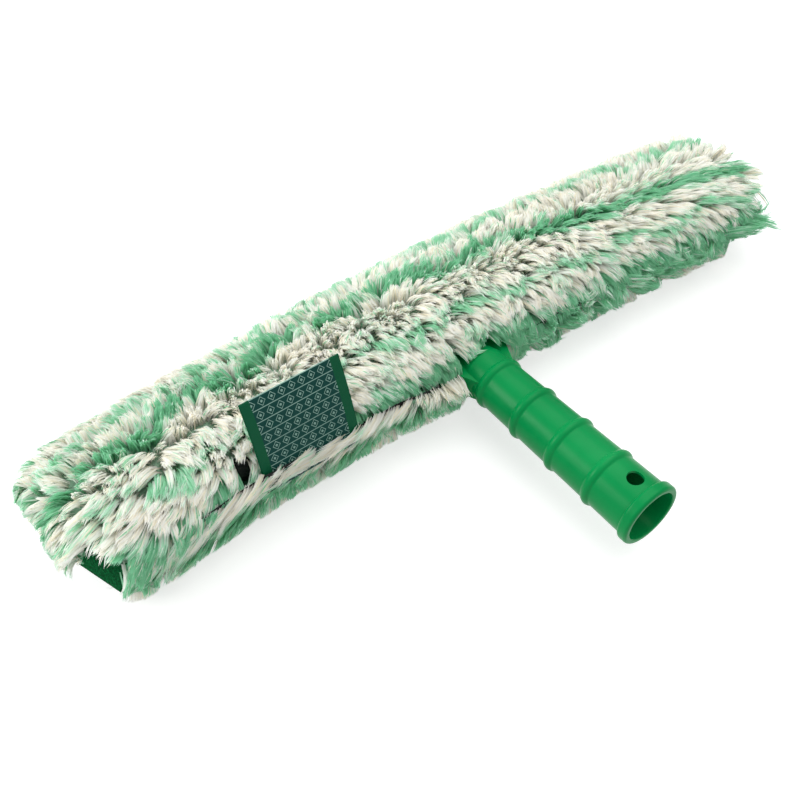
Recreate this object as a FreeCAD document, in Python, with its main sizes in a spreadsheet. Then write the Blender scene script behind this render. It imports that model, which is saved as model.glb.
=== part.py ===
import FreeCAD, Part
import math
import os
import Sketcher

# Window scrubber: a moulded T-bar, with a wrap-round plush sleeve that opens along its front edge.
# Sizes are in millimetres. The origin is where the straight pole socket starts, just inside the
# rounded lip of the handle's mouth. +Y runs from the mouth to the crossbar, X lies along the
# crossbar and +Z is up from the surface the scrubber lies on.

os.makedirs("parts", exist_ok=True)
doc = FreeCAD.newDocument("window_scrubber")

SIZES = [
    ("reach", 170.0, "handle mouth to crossbar axis"),
    ("mouth_radius", 16.2, "outside of the grip at its mouth"),
    ("grip_length", 122.0, "round grip, mouth to start of the nose"),
    ("grip_taper", 0.0185, "radius lost for each millimetre of grip"),
    ("nose_length", 26.0, "cone that closes the round grip"),
    ("nose_radius", 7.0, "radius at the tip of that cone"),
    ("rim_radius", 17.8, "thick rim round the mouth"),
    ("rim_width", 5.6, "rim along the grip"),
    ("rim_round", 1.7, "rounding of the rim's outer edges"),
    ("lip_round", 0.7, "rounding inside the mouth"),
    ("ring_start", 29.0, "mouth to the first raised ring"),
    ("ring_pitch", 26.8, "between raised rings"),
    ("ring_bead", 3.2, "radius of each ring's round section"),
    ("ring_height", 1.35, "how far a ring stands proud"),
    ("ring_blend", 0.9, "fillet at the foot of each ring"),
    ("socket_radius", 14.4, "straight pole socket"),
    ("socket_depth", 45.0, "straight length of the socket"),
    ("cone_depth", 104.0, "mouth to the small end of the socket's cone"),
    ("cone_radius", 10.6, "small end of the cone"),
    ("lock_radius", 4.35, "hole for the pole's spring button"),
    ("lock_inset", 13.5, "mouth to the lock hole's centre"),
    ("web_start", 112.0, "mouth to the foot of the flat web"),
    ("web_foot", 12.5, "half width of the web where it leaves the grip"),
    ("tang_half", 30.0, "half width of the tang in the crossbar"),
    ("tang_depth", 10.5, "tang beyond the crossbar's axis"),
    ("bar_width", 38.0, "crossbar front to rear"),
    ("bar_height", 18.0, "crossbar thickness"),
    ("bar_wall", 2.0, "crossbar wall"),
    ("bar_half", 200.0, "crossbar half length without its caps"),
    ("fit_gap", 0.2, "clearance between moulded pieces"),
    ("slot_length", 25.0, "water slot, end to end"),
    ("slot_width", 9.0, "water slot"),
    ("slot_start", 60.0, "crossbar middle to the first slot"),
    ("slot_pitch", 37.0, "between slots"),
    ("slot_count", 4, "slots on each side of the handle"),
    ("cap_flange", 5.0, "end cap outside the crossbar"),
    ("cap_round", 3.5, "rounding of the cap"),
    ("cap_plug", 11.0, "end cap inside the crossbar"),
    ("screw_side", 18.0, "screws each side of the middle"),
    ("screw_back", 3.0, "screws behind the crossbar's axis"),
    ("screw_radius", 1.8, "screw shank"),
    ("screw_head", 3.5, "screw head radius"),
    ("screw_length", 12.5, "screw, end to end"),
    ("screw_gap", 0.1, "clearance round a screw"),
    ("front_edge", 56.0, "crossbar axis to the pile in front"),
    ("rear_edge", 47.0, "crossbar axis to the pile behind"),
    ("crown_top", 32.0, "crossbar axis to the top of the crown"),
    ("crown_shift", 4.0, "crown's middle in front of the crossbar axis"),
    ("crown_radius", 130.0, "curve of the crown"),
    ("nose_curve", 27.0, "curve of the upper front and rear shoulders"),
    ("base_drop", 29.0, "crossbar axis down to the flat underside"),
    ("pocket_front", 23.5, "crossbar axis to the front of the sleeve's pocket"),
    ("pocket_gap", 0.4, "room round the crossbar in the pocket"),
    ("pocket_end", 1.0, "room beyond each end cap in the pocket"),
    ("slit_height", 7.0, "front slit above the crossbar axis"),
    ("split_back", 12.0, "crossbar axis back to the fold's start"),
    ("cloth_gap", 0.4, "room between neighbouring soft pieces"),
    ("upper_half", 238.0, "upper panel half length"),
    ("lower_half", 241.0, "lower panel half length"),
    ("lower_shift", 3.0, "lower panel's middle to the right of the handle"),
    ("fold_half", 238.0, "rear fold half length"),
    ("end_round", 18.0, "rounding of the sleeve's ends"),
    ("notch_front", 17.5, "half width of the handle opening at the front"),
    ("notch_back", 35.0, "half width of the handle opening at the pocket"),
    ("notch_height", 15.5, "handle opening above and below the axis"),
    ("strip_width", 16.0, "closing strip, front to rear"),
    ("strip_front", 45.0, "crossbar axis to a closing strip's front edge"),
    ("strip_inner", 38.0, "handle axis to a closing strip's near end"),
    ("strip_outer", 198.0, "handle axis to a closing strip's far end"),
    ("strip_thick", 1.2, "closing strip thickness"),
    ("strip_corner", 2.5, "closing strip corner radius"),
    ("tab_foot", 226.0, "handle axis to a tab's foot"),
    ("tab_lean", 12.0, "how far a tab's head leans inward"),
    ("tab_base", 24.0, "tab's foot below the crossbar axis"),
    ("tab_rise", 25.0, "tab's height"),
    ("tab_thick", 1.6, "tab thickness"),
    ("tab_width", 30.0, "tab, front to rear"),
    ("tab_front", 38.0, "crossbar axis to a tab's front edge"),
    ("tab_corner", 3.0, "tab's upper corners"),
    ("recess_back", 5.0, "crossbar axis to the rear of the end recess"),
    ("lip_front", 42.0, "crossbar axis to the rear of the right-hand lip"),
    ("label_middle", 112.5, "handle axis to the label's middle"),
    ("label_width", 55.0, "label along the sleeve"),
    ("label_foot_out", 50.5, "crossbar axis to the label's foot"),
    ("label_foot_up", 8.2, "label's foot above the axis"),
    ("label_head_out", 35.0, "crossbar axis to the label's head"),
    ("label_head_up", 54.5, "label's head above the axis"),
    ("label_curve", 200.0, "curve of the label"),
    ("label_thick", 0.9, "folded label thickness"),
]

sheet = doc.addObject("Spreadsheet::Sheet", "Sizes")
for row, (size_name, size_value, meaning) in enumerate(SIZES, start=1):
    sheet.set(f"A{row}", size_name)
    sheet.set(f"B{row}", str(size_value))
    sheet.setAlias(f"B{row}", size_name)
    sheet.set(f"C{row}", meaning)
doc.recompute()


class Term:
    """A length worked out from the sheet: what it is now, and the expression that keeps it so."""

    def __init__(self, value, text):
        self.value = float(value)
        self.text = text

    def __add__(self, other):
        other = term(other)
        return Term(self.value + other.value, f"({self.text} + {other.text})")

    def __sub__(self, other):
        other = term(other)
        return Term(self.value - other.value, f"({self.text} - {other.text})")

    def __mul__(self, other):
        other = term(other)
        return Term(self.value * other.value, f"({self.text} * {other.text})")

    def __truediv__(self, other):
        other = term(other)
        return Term(self.value / other.value, f"({self.text} / {other.text})")

    def __neg__(self):
        return Term(-self.value, f"(0 - {self.text})")

    def root(self):
        return Term(math.sqrt(self.value), f"sqrt({self.text})")


def term(value):
    return value if isinstance(value, Term) else Term(value, str(value))


class Sheet:
    """The sheet's sizes by name."""


size = Sheet()
for size_name, size_value, meaning in SIZES:
    setattr(size, size_name, Term(size_value, f"Sizes.{size_name}"))

ZERO = term(0)
OUTLINE_NEAR = 1e-3


def near(one, other):
    return abs(one - other) < OUTLINE_NEAR


def new_body(label, x=ZERO, y=ZERO, z=ZERO):
    body = doc.addObject("PartDesign::Body", label)
    body.Label = label
    body.Placement.Base = FreeCAD.Vector(x.value, y.value, z.value)
    for axis, where in (("x", x), ("y", y), ("z", z)):
        if where.text != "0":
            body.setExpression(f"Placement.Base.{axis}", where.text)
    return body


def new_sketch(body, label, role, offset=None):
    sketch = body.newObject("Sketcher::SketchObject", label)
    plane = [part for part in body.Origin.OriginFeatures if part.Role == role][0]
    sketch.AttachmentSupport = [(plane, "")]
    sketch.MapMode = "FlatFace"
    if offset is not None:
        sketch.AttachmentOffset.Base = FreeCAD.Vector(0, 0, offset.value)
        sketch.setExpression("AttachmentOffset.Base.z", offset.text)
    return sketch


def bind(sketch, constraint, length):
    index = sketch.addConstraint(constraint)
    sketch.setExpression(f"Constraints[{index}]", length.text)


def fix_point(sketch, geometry, end, across, along):
    for kind, axis, where in (("DistanceX", -2, across), ("DistanceY", -1, along)):
        if where is None:
            continue
        if where.text == "0":
            sketch.addConstraint(Sketcher.Constraint("PointOnObject", geometry, end, axis))
        elif where.value >= 0:
            bind(sketch, Sketcher.Constraint(kind, -1, 1, geometry, end, where.value), where)
        else:
            bind(sketch, Sketcher.Constraint(kind, geometry, end, -1, 1, -where.value), -where)


def arc_between(start, finish, radius, left):
    middle = (start + finish) / 2
    chord = finish - start
    sagitta_side = math.sqrt(max(radius ** 2 - (chord.Length / 2) ** 2, 0.0))
    normal = FreeCAD.Vector(-chord.y, chord.x, 0)
    normal.normalize()
    centre = middle + normal * (sagitta_side if left else -sagitta_side)
    first = math.atan2(start.y - centre.y, start.x - centre.x)
    last = math.atan2(finish.y - centre.y, finish.x - centre.x)
    circle = Part.Circle(centre, FreeCAD.Vector(0, 0, 1), radius)
    if left:
        return Part.ArcOfCircle(circle, first, last), 1, 2
    return Part.ArcOfCircle(circle, last, first), 2, 1


def outline(sketch, corners):
    """Closed outline: each corner is (across, along) or (across, along, radius, centre on the left),
    where the radius bends the side that leaves this corner."""
    spots = [FreeCAD.Vector(corner[0].value, corner[1].value, 0) for corner in corners]
    ends = []
    for index, corner in enumerate(corners):
        start = spots[index]
        finish = spots[(index + 1) % len(spots)]
        if len(corner) == 4:
            curve, head, tail = arc_between(start, finish, corner[2].value, corner[3])
            side = sketch.addGeometry(curve, False)
            if near((finish - start).Length, corner[2].value * 2):
                fix_point(sketch, side, 3, corner[0], None)
            else:
                bind(sketch, Sketcher.Constraint("Radius", side, corner[2].value), corner[2])
        else:
            side = sketch.addGeometry(Part.LineSegment(start, finish), False)
            head, tail = 1, 2
        ends.append((side, head, tail))
    for index, corner in enumerate(corners):
        side, head, tail = ends[index]
        before, unused, before_tail = ends[index - 1]
        sketch.addConstraint(Sketcher.Constraint("Coincident", before, before_tail, side, head))
        fix_point(sketch, side, head, corner[0], corner[1])


def round_hole(sketch, across, along, radius):
    centre = FreeCAD.Vector(across.value, along.value, 0)
    circle = sketch.addGeometry(Part.Circle(centre, FreeCAD.Vector(0, 0, 1), radius.value), False)
    bind(sketch, Sketcher.Constraint("Radius", circle, radius.value), radius)
    fix_point(sketch, circle, 3, across, along)


def obround(sketch, middle_x, middle_y, length, width):
    """Straight sides along the sketch's X axis, round ends."""
    half = width / 2
    reach = length / 2 - half
    outline(sketch, [
        (middle_x - reach, middle_y - half),
        (middle_x + reach, middle_y - half, half, True),
        (middle_x + reach, middle_y + half),
        (middle_x - reach, middle_y + half, half, True),
    ])


def rounded_box(sketch, left, right, low, high, radius):
    outline(sketch, [
        (left + radius, low),
        (right - radius, low, radius, True),
        (right, low + radius),
        (right, high - radius, radius, True),
        (right - radius, high),
        (left + radius, high, radius, True),
        (left, high - radius),
        (left, low + radius, radius, True),
    ])


def swept(body, kind, label, sketch, length=None, both_sides=False, backwards=False):
    feature = body.newObject(f"PartDesign::{kind}", label)
    feature.Profile = sketch
    if length is None:
        feature.Type = 1
    else:
        feature.Length = length.value
        feature.setExpression("Length", length.text)
    feature.Midplane = both_sides
    feature.Reversed = backwards
    sketch.Visibility = False
    return feature


def turned(body, kind, label, sketch, axis):
    feature = body.newObject(f"PartDesign::{kind}", label)
    feature.Profile = sketch
    feature.ReferenceAxis = (sketch, [axis])
    feature.Angle = 360
    sketch.Visibility = False
    return feature


def dressed(body, kind, label, base, radius, chosen):
    """A fillet or chamfer on the edges of the base that the test picks."""
    doc.recompute()
    edges = [f"Edge{index}" for index, edge in enumerate(base.Shape.Edges, start=1) if chosen(edge)]
    if not edges:
        raise RuntimeError(f"{label}: no edge to dress")
    feature = body.newObject(f"PartDesign::{kind}", label)
    feature.Base = (base, edges)
    if kind == "Fillet":
        feature.Radius = radius.value
        feature.setExpression("Radius", radius.text)
    else:
        feature.Size = radius.value
        feature.setExpression("Size", radius.text)
    return feature


def is_circle(edge, radius=None):
    round_edge = isinstance(edge.Curve, Part.Circle)
    return round_edge and (radius is None or near(edge.Curve.Radius, radius))


# Handle: the round grip, its rim and rings, the flat web and the tang inside the crossbar

def grip_radius(along):
    return size.mouth_radius - size.grip_taper * along


def ring_place(index):
    return size.ring_start + size.ring_pitch * index


RING_COUNT = 4
handle = new_body("handle")
grip_sketch = new_sketch(handle, "grip_profile", "XY_Plane")
outline(grip_sketch, [
    (ZERO, -size.lip_round),
    (size.rim_radius, -size.lip_round),
    (size.rim_radius, size.rim_width),
    (grip_radius(size.rim_width), size.rim_width),
    (grip_radius(size.grip_length), size.grip_length),
    (size.nose_radius, size.grip_length + size.nose_length),
    (ZERO, size.grip_length + size.nose_length),
])
grip = turned(handle, "Revolution", "grip", grip_sketch, "V_Axis")

for ring_index in range(RING_COUNT):
    ring_sketch = new_sketch(handle, f"ring_profile_{ring_index + 1}", "XY_Plane")
    ring_crest = grip_radius(ring_place(ring_index)) + size.ring_height
    round_hole(ring_sketch, ring_crest - size.ring_bead, ring_place(ring_index), size.ring_bead)
    ring = turned(handle, "Revolution", f"ring_{ring_index + 1}", ring_sketch, "V_Axis")


def is_ring_foot(edge):
    if not is_circle(edge):
        return False
    centre = edge.Curve.Center
    far = min(abs(centre.y - ring_place(index).value) for index in range(RING_COUNT))
    on_grip = near(edge.Curve.Radius, grip_radius(term(centre.y)).value)
    return on_grip and 1.0 < far < size.ring_bead.value


ring_blend = dressed(handle, "Fillet", "ring_blend", ring, size.ring_blend, is_ring_foot)


def is_rim_edge(edge):
    return is_circle(edge, size.rim_radius.value)


rim_blend = dressed(handle, "Fillet", "rim_blend", ring_blend, size.rim_round, is_rim_edge)

web_sketch = new_sketch(handle, "web_outline", "XY_Plane")
tang_start = size.reach - size.bar_width / 2 - size.fit_gap * 2
web_back = size.reach + size.tang_depth
outline(web_sketch, [
    (-size.web_foot, size.web_start),
    (size.web_foot, size.web_start),
    (size.tang_half, tang_start),
    (size.tang_half, web_back),
    (-size.tang_half, web_back),
    (-size.tang_half, tang_start),
])
web_height = size.bar_height - size.bar_wall * 2 - size.fit_gap * 2
web = swept(handle, "Pad", "web", web_sketch, web_height, both_sides=True)


socket_sketch = new_sketch(handle, "socket_profile", "XY_Plane")
outline(socket_sketch, [
    (ZERO, -size.rim_width),
    (size.socket_radius, -size.rim_width),
    (size.socket_radius, size.socket_depth),
    (size.cone_radius, size.cone_depth),
    (ZERO, size.cone_depth),
])
socket = turned(handle, "Groove", "socket", socket_sketch, "V_Axis")


def is_mouth_edge(edge):
    return is_circle(edge, size.socket_radius.value) and near(edge.Curve.Center.y, -size.lip_round.value)


mouth_lip = dressed(handle, "Fillet", "mouth_lip", socket, size.lip_round, is_mouth_edge)

lock_sketch = new_sketch(handle, "lock_outline", "XY_Plane")
round_hole(lock_sketch, ZERO, size.lock_inset, size.lock_radius)
lock = swept(handle, "Pocket", "lock_hole", lock_sketch, size.rim_radius * 2, backwards=True)

screw_room = size.screw_radius + size.screw_gap
tang_hole_sketch = new_sketch(handle, "tang_holes", "XY_Plane")
for side in (-1, 1):
    round_hole(tang_hole_sketch, size.screw_side * side, size.reach + size.screw_back, screw_room)
swept(handle, "Pocket", "tang_hole", tang_hole_sketch, size.bar_height, both_sides=True)

# Crossbar: a flat oval tube with water slots, an opening for the tang and two countersunk holes

crossbar = new_body("crossbar", y=size.reach)
tube_sketch = new_sketch(crossbar, "tube_section", "YZ_Plane")
obround(tube_sketch, ZERO, ZERO, size.bar_width, size.bar_height)
obround(tube_sketch, ZERO, ZERO, size.bar_width - size.bar_wall * 2, size.bar_height - size.bar_wall * 2)
tube = swept(crossbar, "Pad", "tube", tube_sketch, size.bar_half * 2, both_sides=True)

opening_sketch = new_sketch(crossbar, "tang_opening_outline", "XZ_Plane")
opening_half = size.tang_half + size.fit_gap
opening_rise = size.bar_height / 2 - size.bar_wall
outline(opening_sketch, [
    (-opening_half, -opening_rise),
    (opening_half, -opening_rise),
    (opening_half, opening_rise),
    (-opening_half, opening_rise),
])
swept(crossbar, "Pocket", "tang_opening", opening_sketch, size.bar_width, backwards=True)

slot_sketch = new_sketch(crossbar, "slot_outline", "XY_Plane")
obround(slot_sketch, size.slot_start, ZERO, size.slot_length, size.slot_width)
slot = swept(crossbar, "Pocket", "water_slot", slot_sketch, size.bar_height * 2, both_sides=True)
slot_rows = crossbar.newObject("PartDesign::MultiTransform", "water_slots")
slot_rows.Originals = [slot]
row = crossbar.newObject("PartDesign::LinearPattern", "slot_row")
row.Direction = (slot_sketch, ["H_Axis"])
row.Length = size.slot_pitch.value * (size.slot_count.value - 1)
row.setExpression("Length", (size.slot_pitch * (size.slot_count - 1)).text)
row.Occurrences = int(size.slot_count.value)
row.setExpression("Occurrences", size.slot_count.text)
other_side = crossbar.newObject("PartDesign::Mirrored", "slot_mirror")
other_side.MirrorPlane = (slot_sketch, ["V_Axis"])
slot_rows.Transformations = [row, other_side]
crossbar.Tip = slot_rows

screw_sketch = new_sketch(crossbar, "screw_holes", "XY_Plane")
for side in (-1, 1):
    round_hole(screw_sketch, size.screw_side * side, size.screw_back, screw_room)
screw_hole = swept(crossbar, "Pocket", "screw_hole", screw_sketch, size.bar_height)


def is_screw_mouth(edge):
    return is_circle(edge, screw_room.value) and near(edge.Curve.Center.z, -size.bar_height.value / 2)


countersink = size.screw_head - size.screw_radius
dressed(crossbar, "Chamfer", "countersink", screw_hole, countersink, is_screw_mouth)


# End caps: a rounded flange over the tube's end and a plug inside it

def end_cap(label, side):
    cap = new_body(label, x=size.bar_half * side, y=size.reach)
    flange_sketch = new_sketch(cap, f"{label}_flange_outline", "YZ_Plane")
    obround(flange_sketch, ZERO, ZERO, size.bar_width, size.bar_height)
    flange = swept(cap, "Pad", f"{label}_flange", flange_sketch, size.cap_flange, backwards=side < 0)
    outer_face = size.cap_flange.value * side

    def is_outer_edge(edge):
        return near(edge.BoundBox.XMin, outer_face) and near(edge.BoundBox.XMax, outer_face)

    dressed(cap, "Fillet", f"{label}_round", flange, size.cap_round, is_outer_edge)
    plug_sketch = new_sketch(cap, f"{label}_plug_outline", "YZ_Plane")
    plug_less = size.bar_wall * 2 + size.fit_gap * 2
    obround(plug_sketch, ZERO, ZERO, size.bar_width - plug_less, size.bar_height - plug_less)
    swept(cap, "Pad", f"{label}_plug", plug_sketch, size.cap_plug, backwards=side > 0)
    return cap


end_cap_left = end_cap("end_cap_left", -1)
end_cap_right = end_cap("end_cap_right", 1)


# Two countersunk screws that hold the tang in the crossbar

def screw(label, side):
    body = new_body(label, x=size.screw_side * side, y=size.reach + size.screw_back, z=-size.bar_height / 2)
    profile = new_sketch(body, f"{label}_profile", "XZ_Plane")
    outline(profile, [
        (ZERO, size.screw_gap),
        (size.screw_head - size.screw_gap, size.screw_gap),
        (size.screw_radius, size.screw_head - size.screw_radius + size.screw_gap),
        (size.screw_radius, size.screw_length),
        (ZERO, size.screw_length),
    ])
    turned(body, "Revolution", f"{label}_turned", profile, "V_Axis")
    return body


screw_left = screw("screw_left", -1)
screw_right = screw("screw_right", 1)
bar_screws = doc.addObject("Part::Compound", "bar_screws")
bar_screws.Label = "bar_screws"
bar_screws.Links = [screw_left, screw_right]

# Sleeve section: a crowned top, round shoulders, a flat underside and a pocket for the crossbar

crown_middle = -size.crown_shift
crown_centre = size.crown_top - size.crown_radius
shoulder_reach = size.crown_radius - size.nose_curve


def shoulder_height(middle):
    """Height of the centre of a shoulder that runs smoothly into the crown."""
    offset = middle - crown_middle
    return crown_centre + (shoulder_reach * shoulder_reach - offset * offset).root()


def shoulder_joint(middle, height):
    """Where that shoulder meets the crown."""
    share = size.crown_radius / shoulder_reach
    joint_across = crown_middle + (middle - crown_middle) * share
    joint_along = crown_centre + (height - crown_centre) * share
    return joint_across, joint_along


front_middle = size.nose_curve - size.front_edge
front_height = shoulder_height(front_middle)
front_joint = shoulder_joint(front_middle, front_height)
rear_middle = size.rear_edge - size.nose_curve
rear_height = shoulder_height(rear_middle)
rear_joint = shoulder_joint(rear_middle, rear_height)
front_belly = front_height + size.base_drop
rear_belly = rear_height + size.base_drop
pocket_roof = size.bar_height / 2 + size.pocket_gap
pocket_half = size.bar_half + size.cap_flange + size.pocket_end
half_gap = size.cloth_gap / 2
upper_slit = size.slit_height + half_gap
label_lean = size.label_foot_out - size.label_head_out
label_rise = size.label_head_up - size.label_foot_up
lower_slit = size.slit_height - half_gap
panel_split = size.split_back - half_gap
fold_split = size.split_back + half_gap


def crown_at(across):
    offset = across - crown_middle
    return crown_centre + (size.crown_radius * size.crown_radius - offset * offset).root()


def front_at(height):
    rise = height - front_height
    return front_middle - (size.nose_curve * size.nose_curve - rise * rise).root()


def end_edges(half_length, keep):
    """Test for the outer edges of a sleeve piece's two ends."""
    def chosen(edge):
        box = edge.BoundBox
        on_end = near(box.XMin, box.XMax) and near(abs(box.XMin), half_length.value)
        return on_end and keep(edge)
    return chosen


def is_bottom(edge):
    box = edge.BoundBox
    return near(box.ZMin, -size.base_drop.value) and near(box.ZMax, -size.base_drop.value)


def is_outer_curve(edge):
    return is_circle(edge) and edge.Curve.Radius > size.bar_height.value


def is_outside(edge):
    return is_outer_curve(edge) or is_bottom(edge)


def bar_pocket(body, label):
    """Room for the crossbar and its end caps between the two panels."""
    pocket = new_sketch(body, f"{label}_pocket_outline", "XY_Plane")
    middle = -body_shift(body)
    outline(pocket, [
        (middle - pocket_half, -size.pocket_front),
        (middle + pocket_half, -size.pocket_front),
        (middle + pocket_half, size.bar_width),
        (middle - pocket_half, size.bar_width),
    ])
    return swept(body, "Pocket", f"{label}_pocket", pocket, pocket_roof * 2, both_sides=True)


def handle_opening(body, label):
    opening = new_sketch(body, f"{label}_opening_outline", "XY_Plane")
    middle = -body_shift(body)
    outline(opening, [
        (middle - size.notch_front, -(size.front_edge + size.cloth_gap)),
        (middle + size.notch_front, -(size.front_edge + size.cloth_gap)),
        (middle + size.notch_back, -(size.pocket_front - size.cloth_gap)),
        (middle - size.notch_back, -(size.pocket_front - size.cloth_gap)),
    ])
    return swept(body, "Pocket", f"{label}_opening", opening, size.notch_height * 2, both_sides=True)


def body_shift(body):
    return size.lower_shift if body.Label == "lower_panel" else ZERO


def strip_edges(side, shift):
    inner = size.strip_inner * side - shift
    outer = size.strip_outer * side - shift
    return (inner, outer) if side > 0 else (outer, inner)


def strip_seats(body, label, height, upward):
    """Shallow seats that the two closing strips are sewn into, from the slit's face at this height."""
    for side, side_name in ((-1, "left"), (1, "right")):
        seat_sketch = new_sketch(body, f"{label}_seat_outline_{side_name}", "XY_Plane", height)
        left, right = strip_edges(side, body_shift(body))
        rounded_box(seat_sketch, left, right, -size.strip_front, size.strip_width - size.strip_front,
                    size.strip_corner)
        seat_name = f"{label}_seat_{side_name}"
        swept(body, "Pocket", seat_name, seat_sketch, size.strip_thick, backwards=upward)


# Upper panel: the crowned half above the slit

upper_panel = new_body("upper_panel", y=size.reach)
upper_sketch = new_sketch(upper_panel, "upper_section", "YZ_Plane")
outline(upper_sketch, [
    (panel_split, crown_at(panel_split), size.crown_radius, True),
    (front_joint[0], front_joint[1], size.nose_curve, True),
    (front_at(upper_slit), upper_slit),
    (panel_split, upper_slit),
])
upper_pad = swept(upper_panel, "Pad", "upper_pad", upper_sketch, size.upper_half * 2, both_sides=True)
upper_ends = end_edges(size.upper_half, is_outside)
dressed(upper_panel, "Fillet", "upper_ends", upper_pad, size.end_round, upper_ends)
bar_pocket(upper_panel, "upper")
handle_opening(upper_panel, "upper")
strip_seats(upper_panel, "upper", upper_slit, True)


def label_back(height):
    """How far in front of the crossbar axis the room behind the label ends, at this height."""
    return label_lean / label_rise * (height - size.label_foot_up) + size.cloth_gap - size.label_foot_out


label_seat = new_sketch(upper_panel, "label_seat_outline", "YZ_Plane", -size.label_middle)
outline(label_seat, [
    (label_back(lower_slit), lower_slit),
    (label_back(size.crown_top), size.crown_top),
    (-(size.front_edge + size.cloth_gap), size.crown_top),
    (-(size.front_edge + size.cloth_gap), lower_slit),
])
swept(upper_panel, "Pocket", "label_seat", label_seat, size.label_width + size.cloth_gap * 2, both_sides=True)

# Lower panel: the flat-bottomed half that wraps up round the front to the slit

lower_panel = new_body("lower_panel", x=size.lower_shift, y=size.reach)
lower_sketch = new_sketch(lower_panel, "lower_section", "YZ_Plane")
outline(lower_sketch, [
    (panel_split, lower_slit),
    (front_at(lower_slit), lower_slit, size.nose_curve, True),
    (-size.front_edge, front_height, front_belly, True),
    (front_belly - size.front_edge, -size.base_drop),
    (panel_split, -size.base_drop),
])
lower_pad = swept(lower_panel, "Pad", "lower_pad", lower_sketch, size.lower_half * 2, both_sides=True)
lower_ends = end_edges(size.lower_half, is_outside)
dressed(lower_panel, "Fillet", "lower_ends", lower_pad, size.end_round, lower_ends)
bar_pocket(lower_panel, "lower")
handle_opening(lower_panel, "lower")


def end_recess(side, side_name, reach_front):
    """Sloping recess in an end of the lower panel, where a closing tab lies."""
    recess = new_sketch(lower_panel, f"recess_outline_{side_name}", "XZ_Plane", size.recess_back)
    foot = (size.tab_foot - size.cloth_gap) * side - size.lower_shift
    lean = size.tab_lean * side
    rise_share = (size.base_drop + size.slit_height) / size.tab_rise
    beyond = size.lower_half * side * 1.2
    floor = -(size.tab_base + size.cloth_gap)
    corners = [
        (foot, floor),
        (foot - lean * rise_share, floor + size.tab_rise * rise_share),
        (beyond, floor + size.tab_rise * rise_share),
        (beyond, floor),
    ]
    outline(recess, corners if side < 0 else corners[::-1])
    return swept(lower_panel, "Pocket", f"recess_{side_name}", recess, reach_front, backwards=True)


end_recess(-1, "left", size.front_edge)
end_recess(1, "right", size.lip_front - size.recess_back)
strip_seats(lower_panel, "lower", lower_slit, False)

# Rear fold: the rounded back that joins the panels

rear_fold = new_body("rear_fold", y=size.reach)
fold_sketch = new_sketch(rear_fold, "fold_section", "YZ_Plane")
outline(fold_sketch, [
    (fold_split, -size.base_drop),
    (size.rear_edge - rear_belly, -size.base_drop, rear_belly, True),
    (size.rear_edge, rear_height, size.nose_curve, True),
    (rear_joint[0], rear_joint[1], size.crown_radius, True),
    (fold_split, crown_at(fold_split)),
])
fold_pad = swept(rear_fold, "Pad", "fold_pad", fold_sketch, size.fold_half * 2, both_sides=True)
fold_ends = end_edges(size.fold_half, is_outside)
dressed(rear_fold, "Fillet", "fold_ends", fold_pad, size.end_round, fold_ends)
fold_pocket_sketch = new_sketch(rear_fold, "fold_pocket_section", "YZ_Plane")
obround(fold_pocket_sketch, ZERO, ZERO, size.bar_width + size.pocket_gap * 2, pocket_roof * 2)
swept(rear_fold, "Pocket", "fold_pocket", fold_pocket_sketch, pocket_half * 2, both_sides=True)


# Closing strips: hooks under the upper panel's front edge, loops on the lower panel's

def closing_strip(label, side, low):
    strip = new_body(label, y=size.reach, z=low)
    strip_sketch = new_sketch(strip, f"{label}_outline", "XY_Plane")
    left, right = strip_edges(side, ZERO)
    rounded_box(strip_sketch, left, right, -size.strip_front, size.strip_width - size.strip_front,
                size.strip_corner)
    swept(strip, "Pad", f"{label}_pad", strip_sketch, size.strip_thick)
    return strip


closing_strips = [
    closing_strip("hook_strip_left", -1, upper_slit),
    closing_strip("hook_strip_right", 1, upper_slit),
    closing_strip("loop_strip_left", -1, lower_slit - size.strip_thick),
    closing_strip("loop_strip_right", 1, lower_slit - size.strip_thick),
]


# End tabs: short sloping flaps sewn to the ends of the lower panel

def end_tab(label, side):
    tab = new_body(label, y=size.reach)
    tab_sketch = new_sketch(tab, f"{label}_section", "XZ_Plane", size.tab_front - size.tab_width)
    foot = size.tab_foot * side
    head = foot - size.tab_lean * side
    out = size.tab_thick * side
    corners = [
        (foot, -size.tab_base),
        (foot + out, -size.tab_base),
        (head + out, size.tab_rise - size.tab_base),
        (head, size.tab_rise - size.tab_base),
    ]
    outline(tab_sketch, corners if side > 0 else corners[::-1])
    tab_pad = swept(tab, "Pad", f"{label}_pad", tab_sketch, size.tab_width)
    head_height = size.tab_rise.value - size.tab_base.value

    def is_head_corner(edge):
        box = edge.BoundBox
        level = near(box.ZMin, head_height) and near(box.ZMax, head_height)
        return level and near(box.YMin, box.YMax)

    dressed(tab, "Fillet", f"{label}_corners", tab_pad, size.tab_corner, is_head_corner)
    return tab


end_tab_left = end_tab("end_tab_left", -1)
end_tab_right = end_tab("end_tab_right", 1)

# Woven label: a folded ribbon that stands up out of the slit, in its seat in the upper panel

woven_label = new_body("woven_label", x=-size.label_middle, y=size.reach)
label_sketch = new_sketch(woven_label, "label_section", "YZ_Plane")
label_length = (label_lean * label_lean + label_rise * label_rise).root()
outward_across = -(label_rise / label_length) * size.label_thick
outward_along = (label_lean / label_length) * size.label_thick
outline(label_sketch, [
    (-size.label_foot_out, size.label_foot_up, size.label_curve, False),
    (-size.label_head_out, size.label_head_up),
    (-size.label_head_out + outward_across, size.label_head_up + outward_along, size.label_curve, True),
    (-size.label_foot_out + outward_across, size.label_foot_up + outward_along),
])
swept(woven_label, "Pad", "label_pad", label_sketch, size.label_width, both_sides=True)

doc.recompute()

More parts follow.
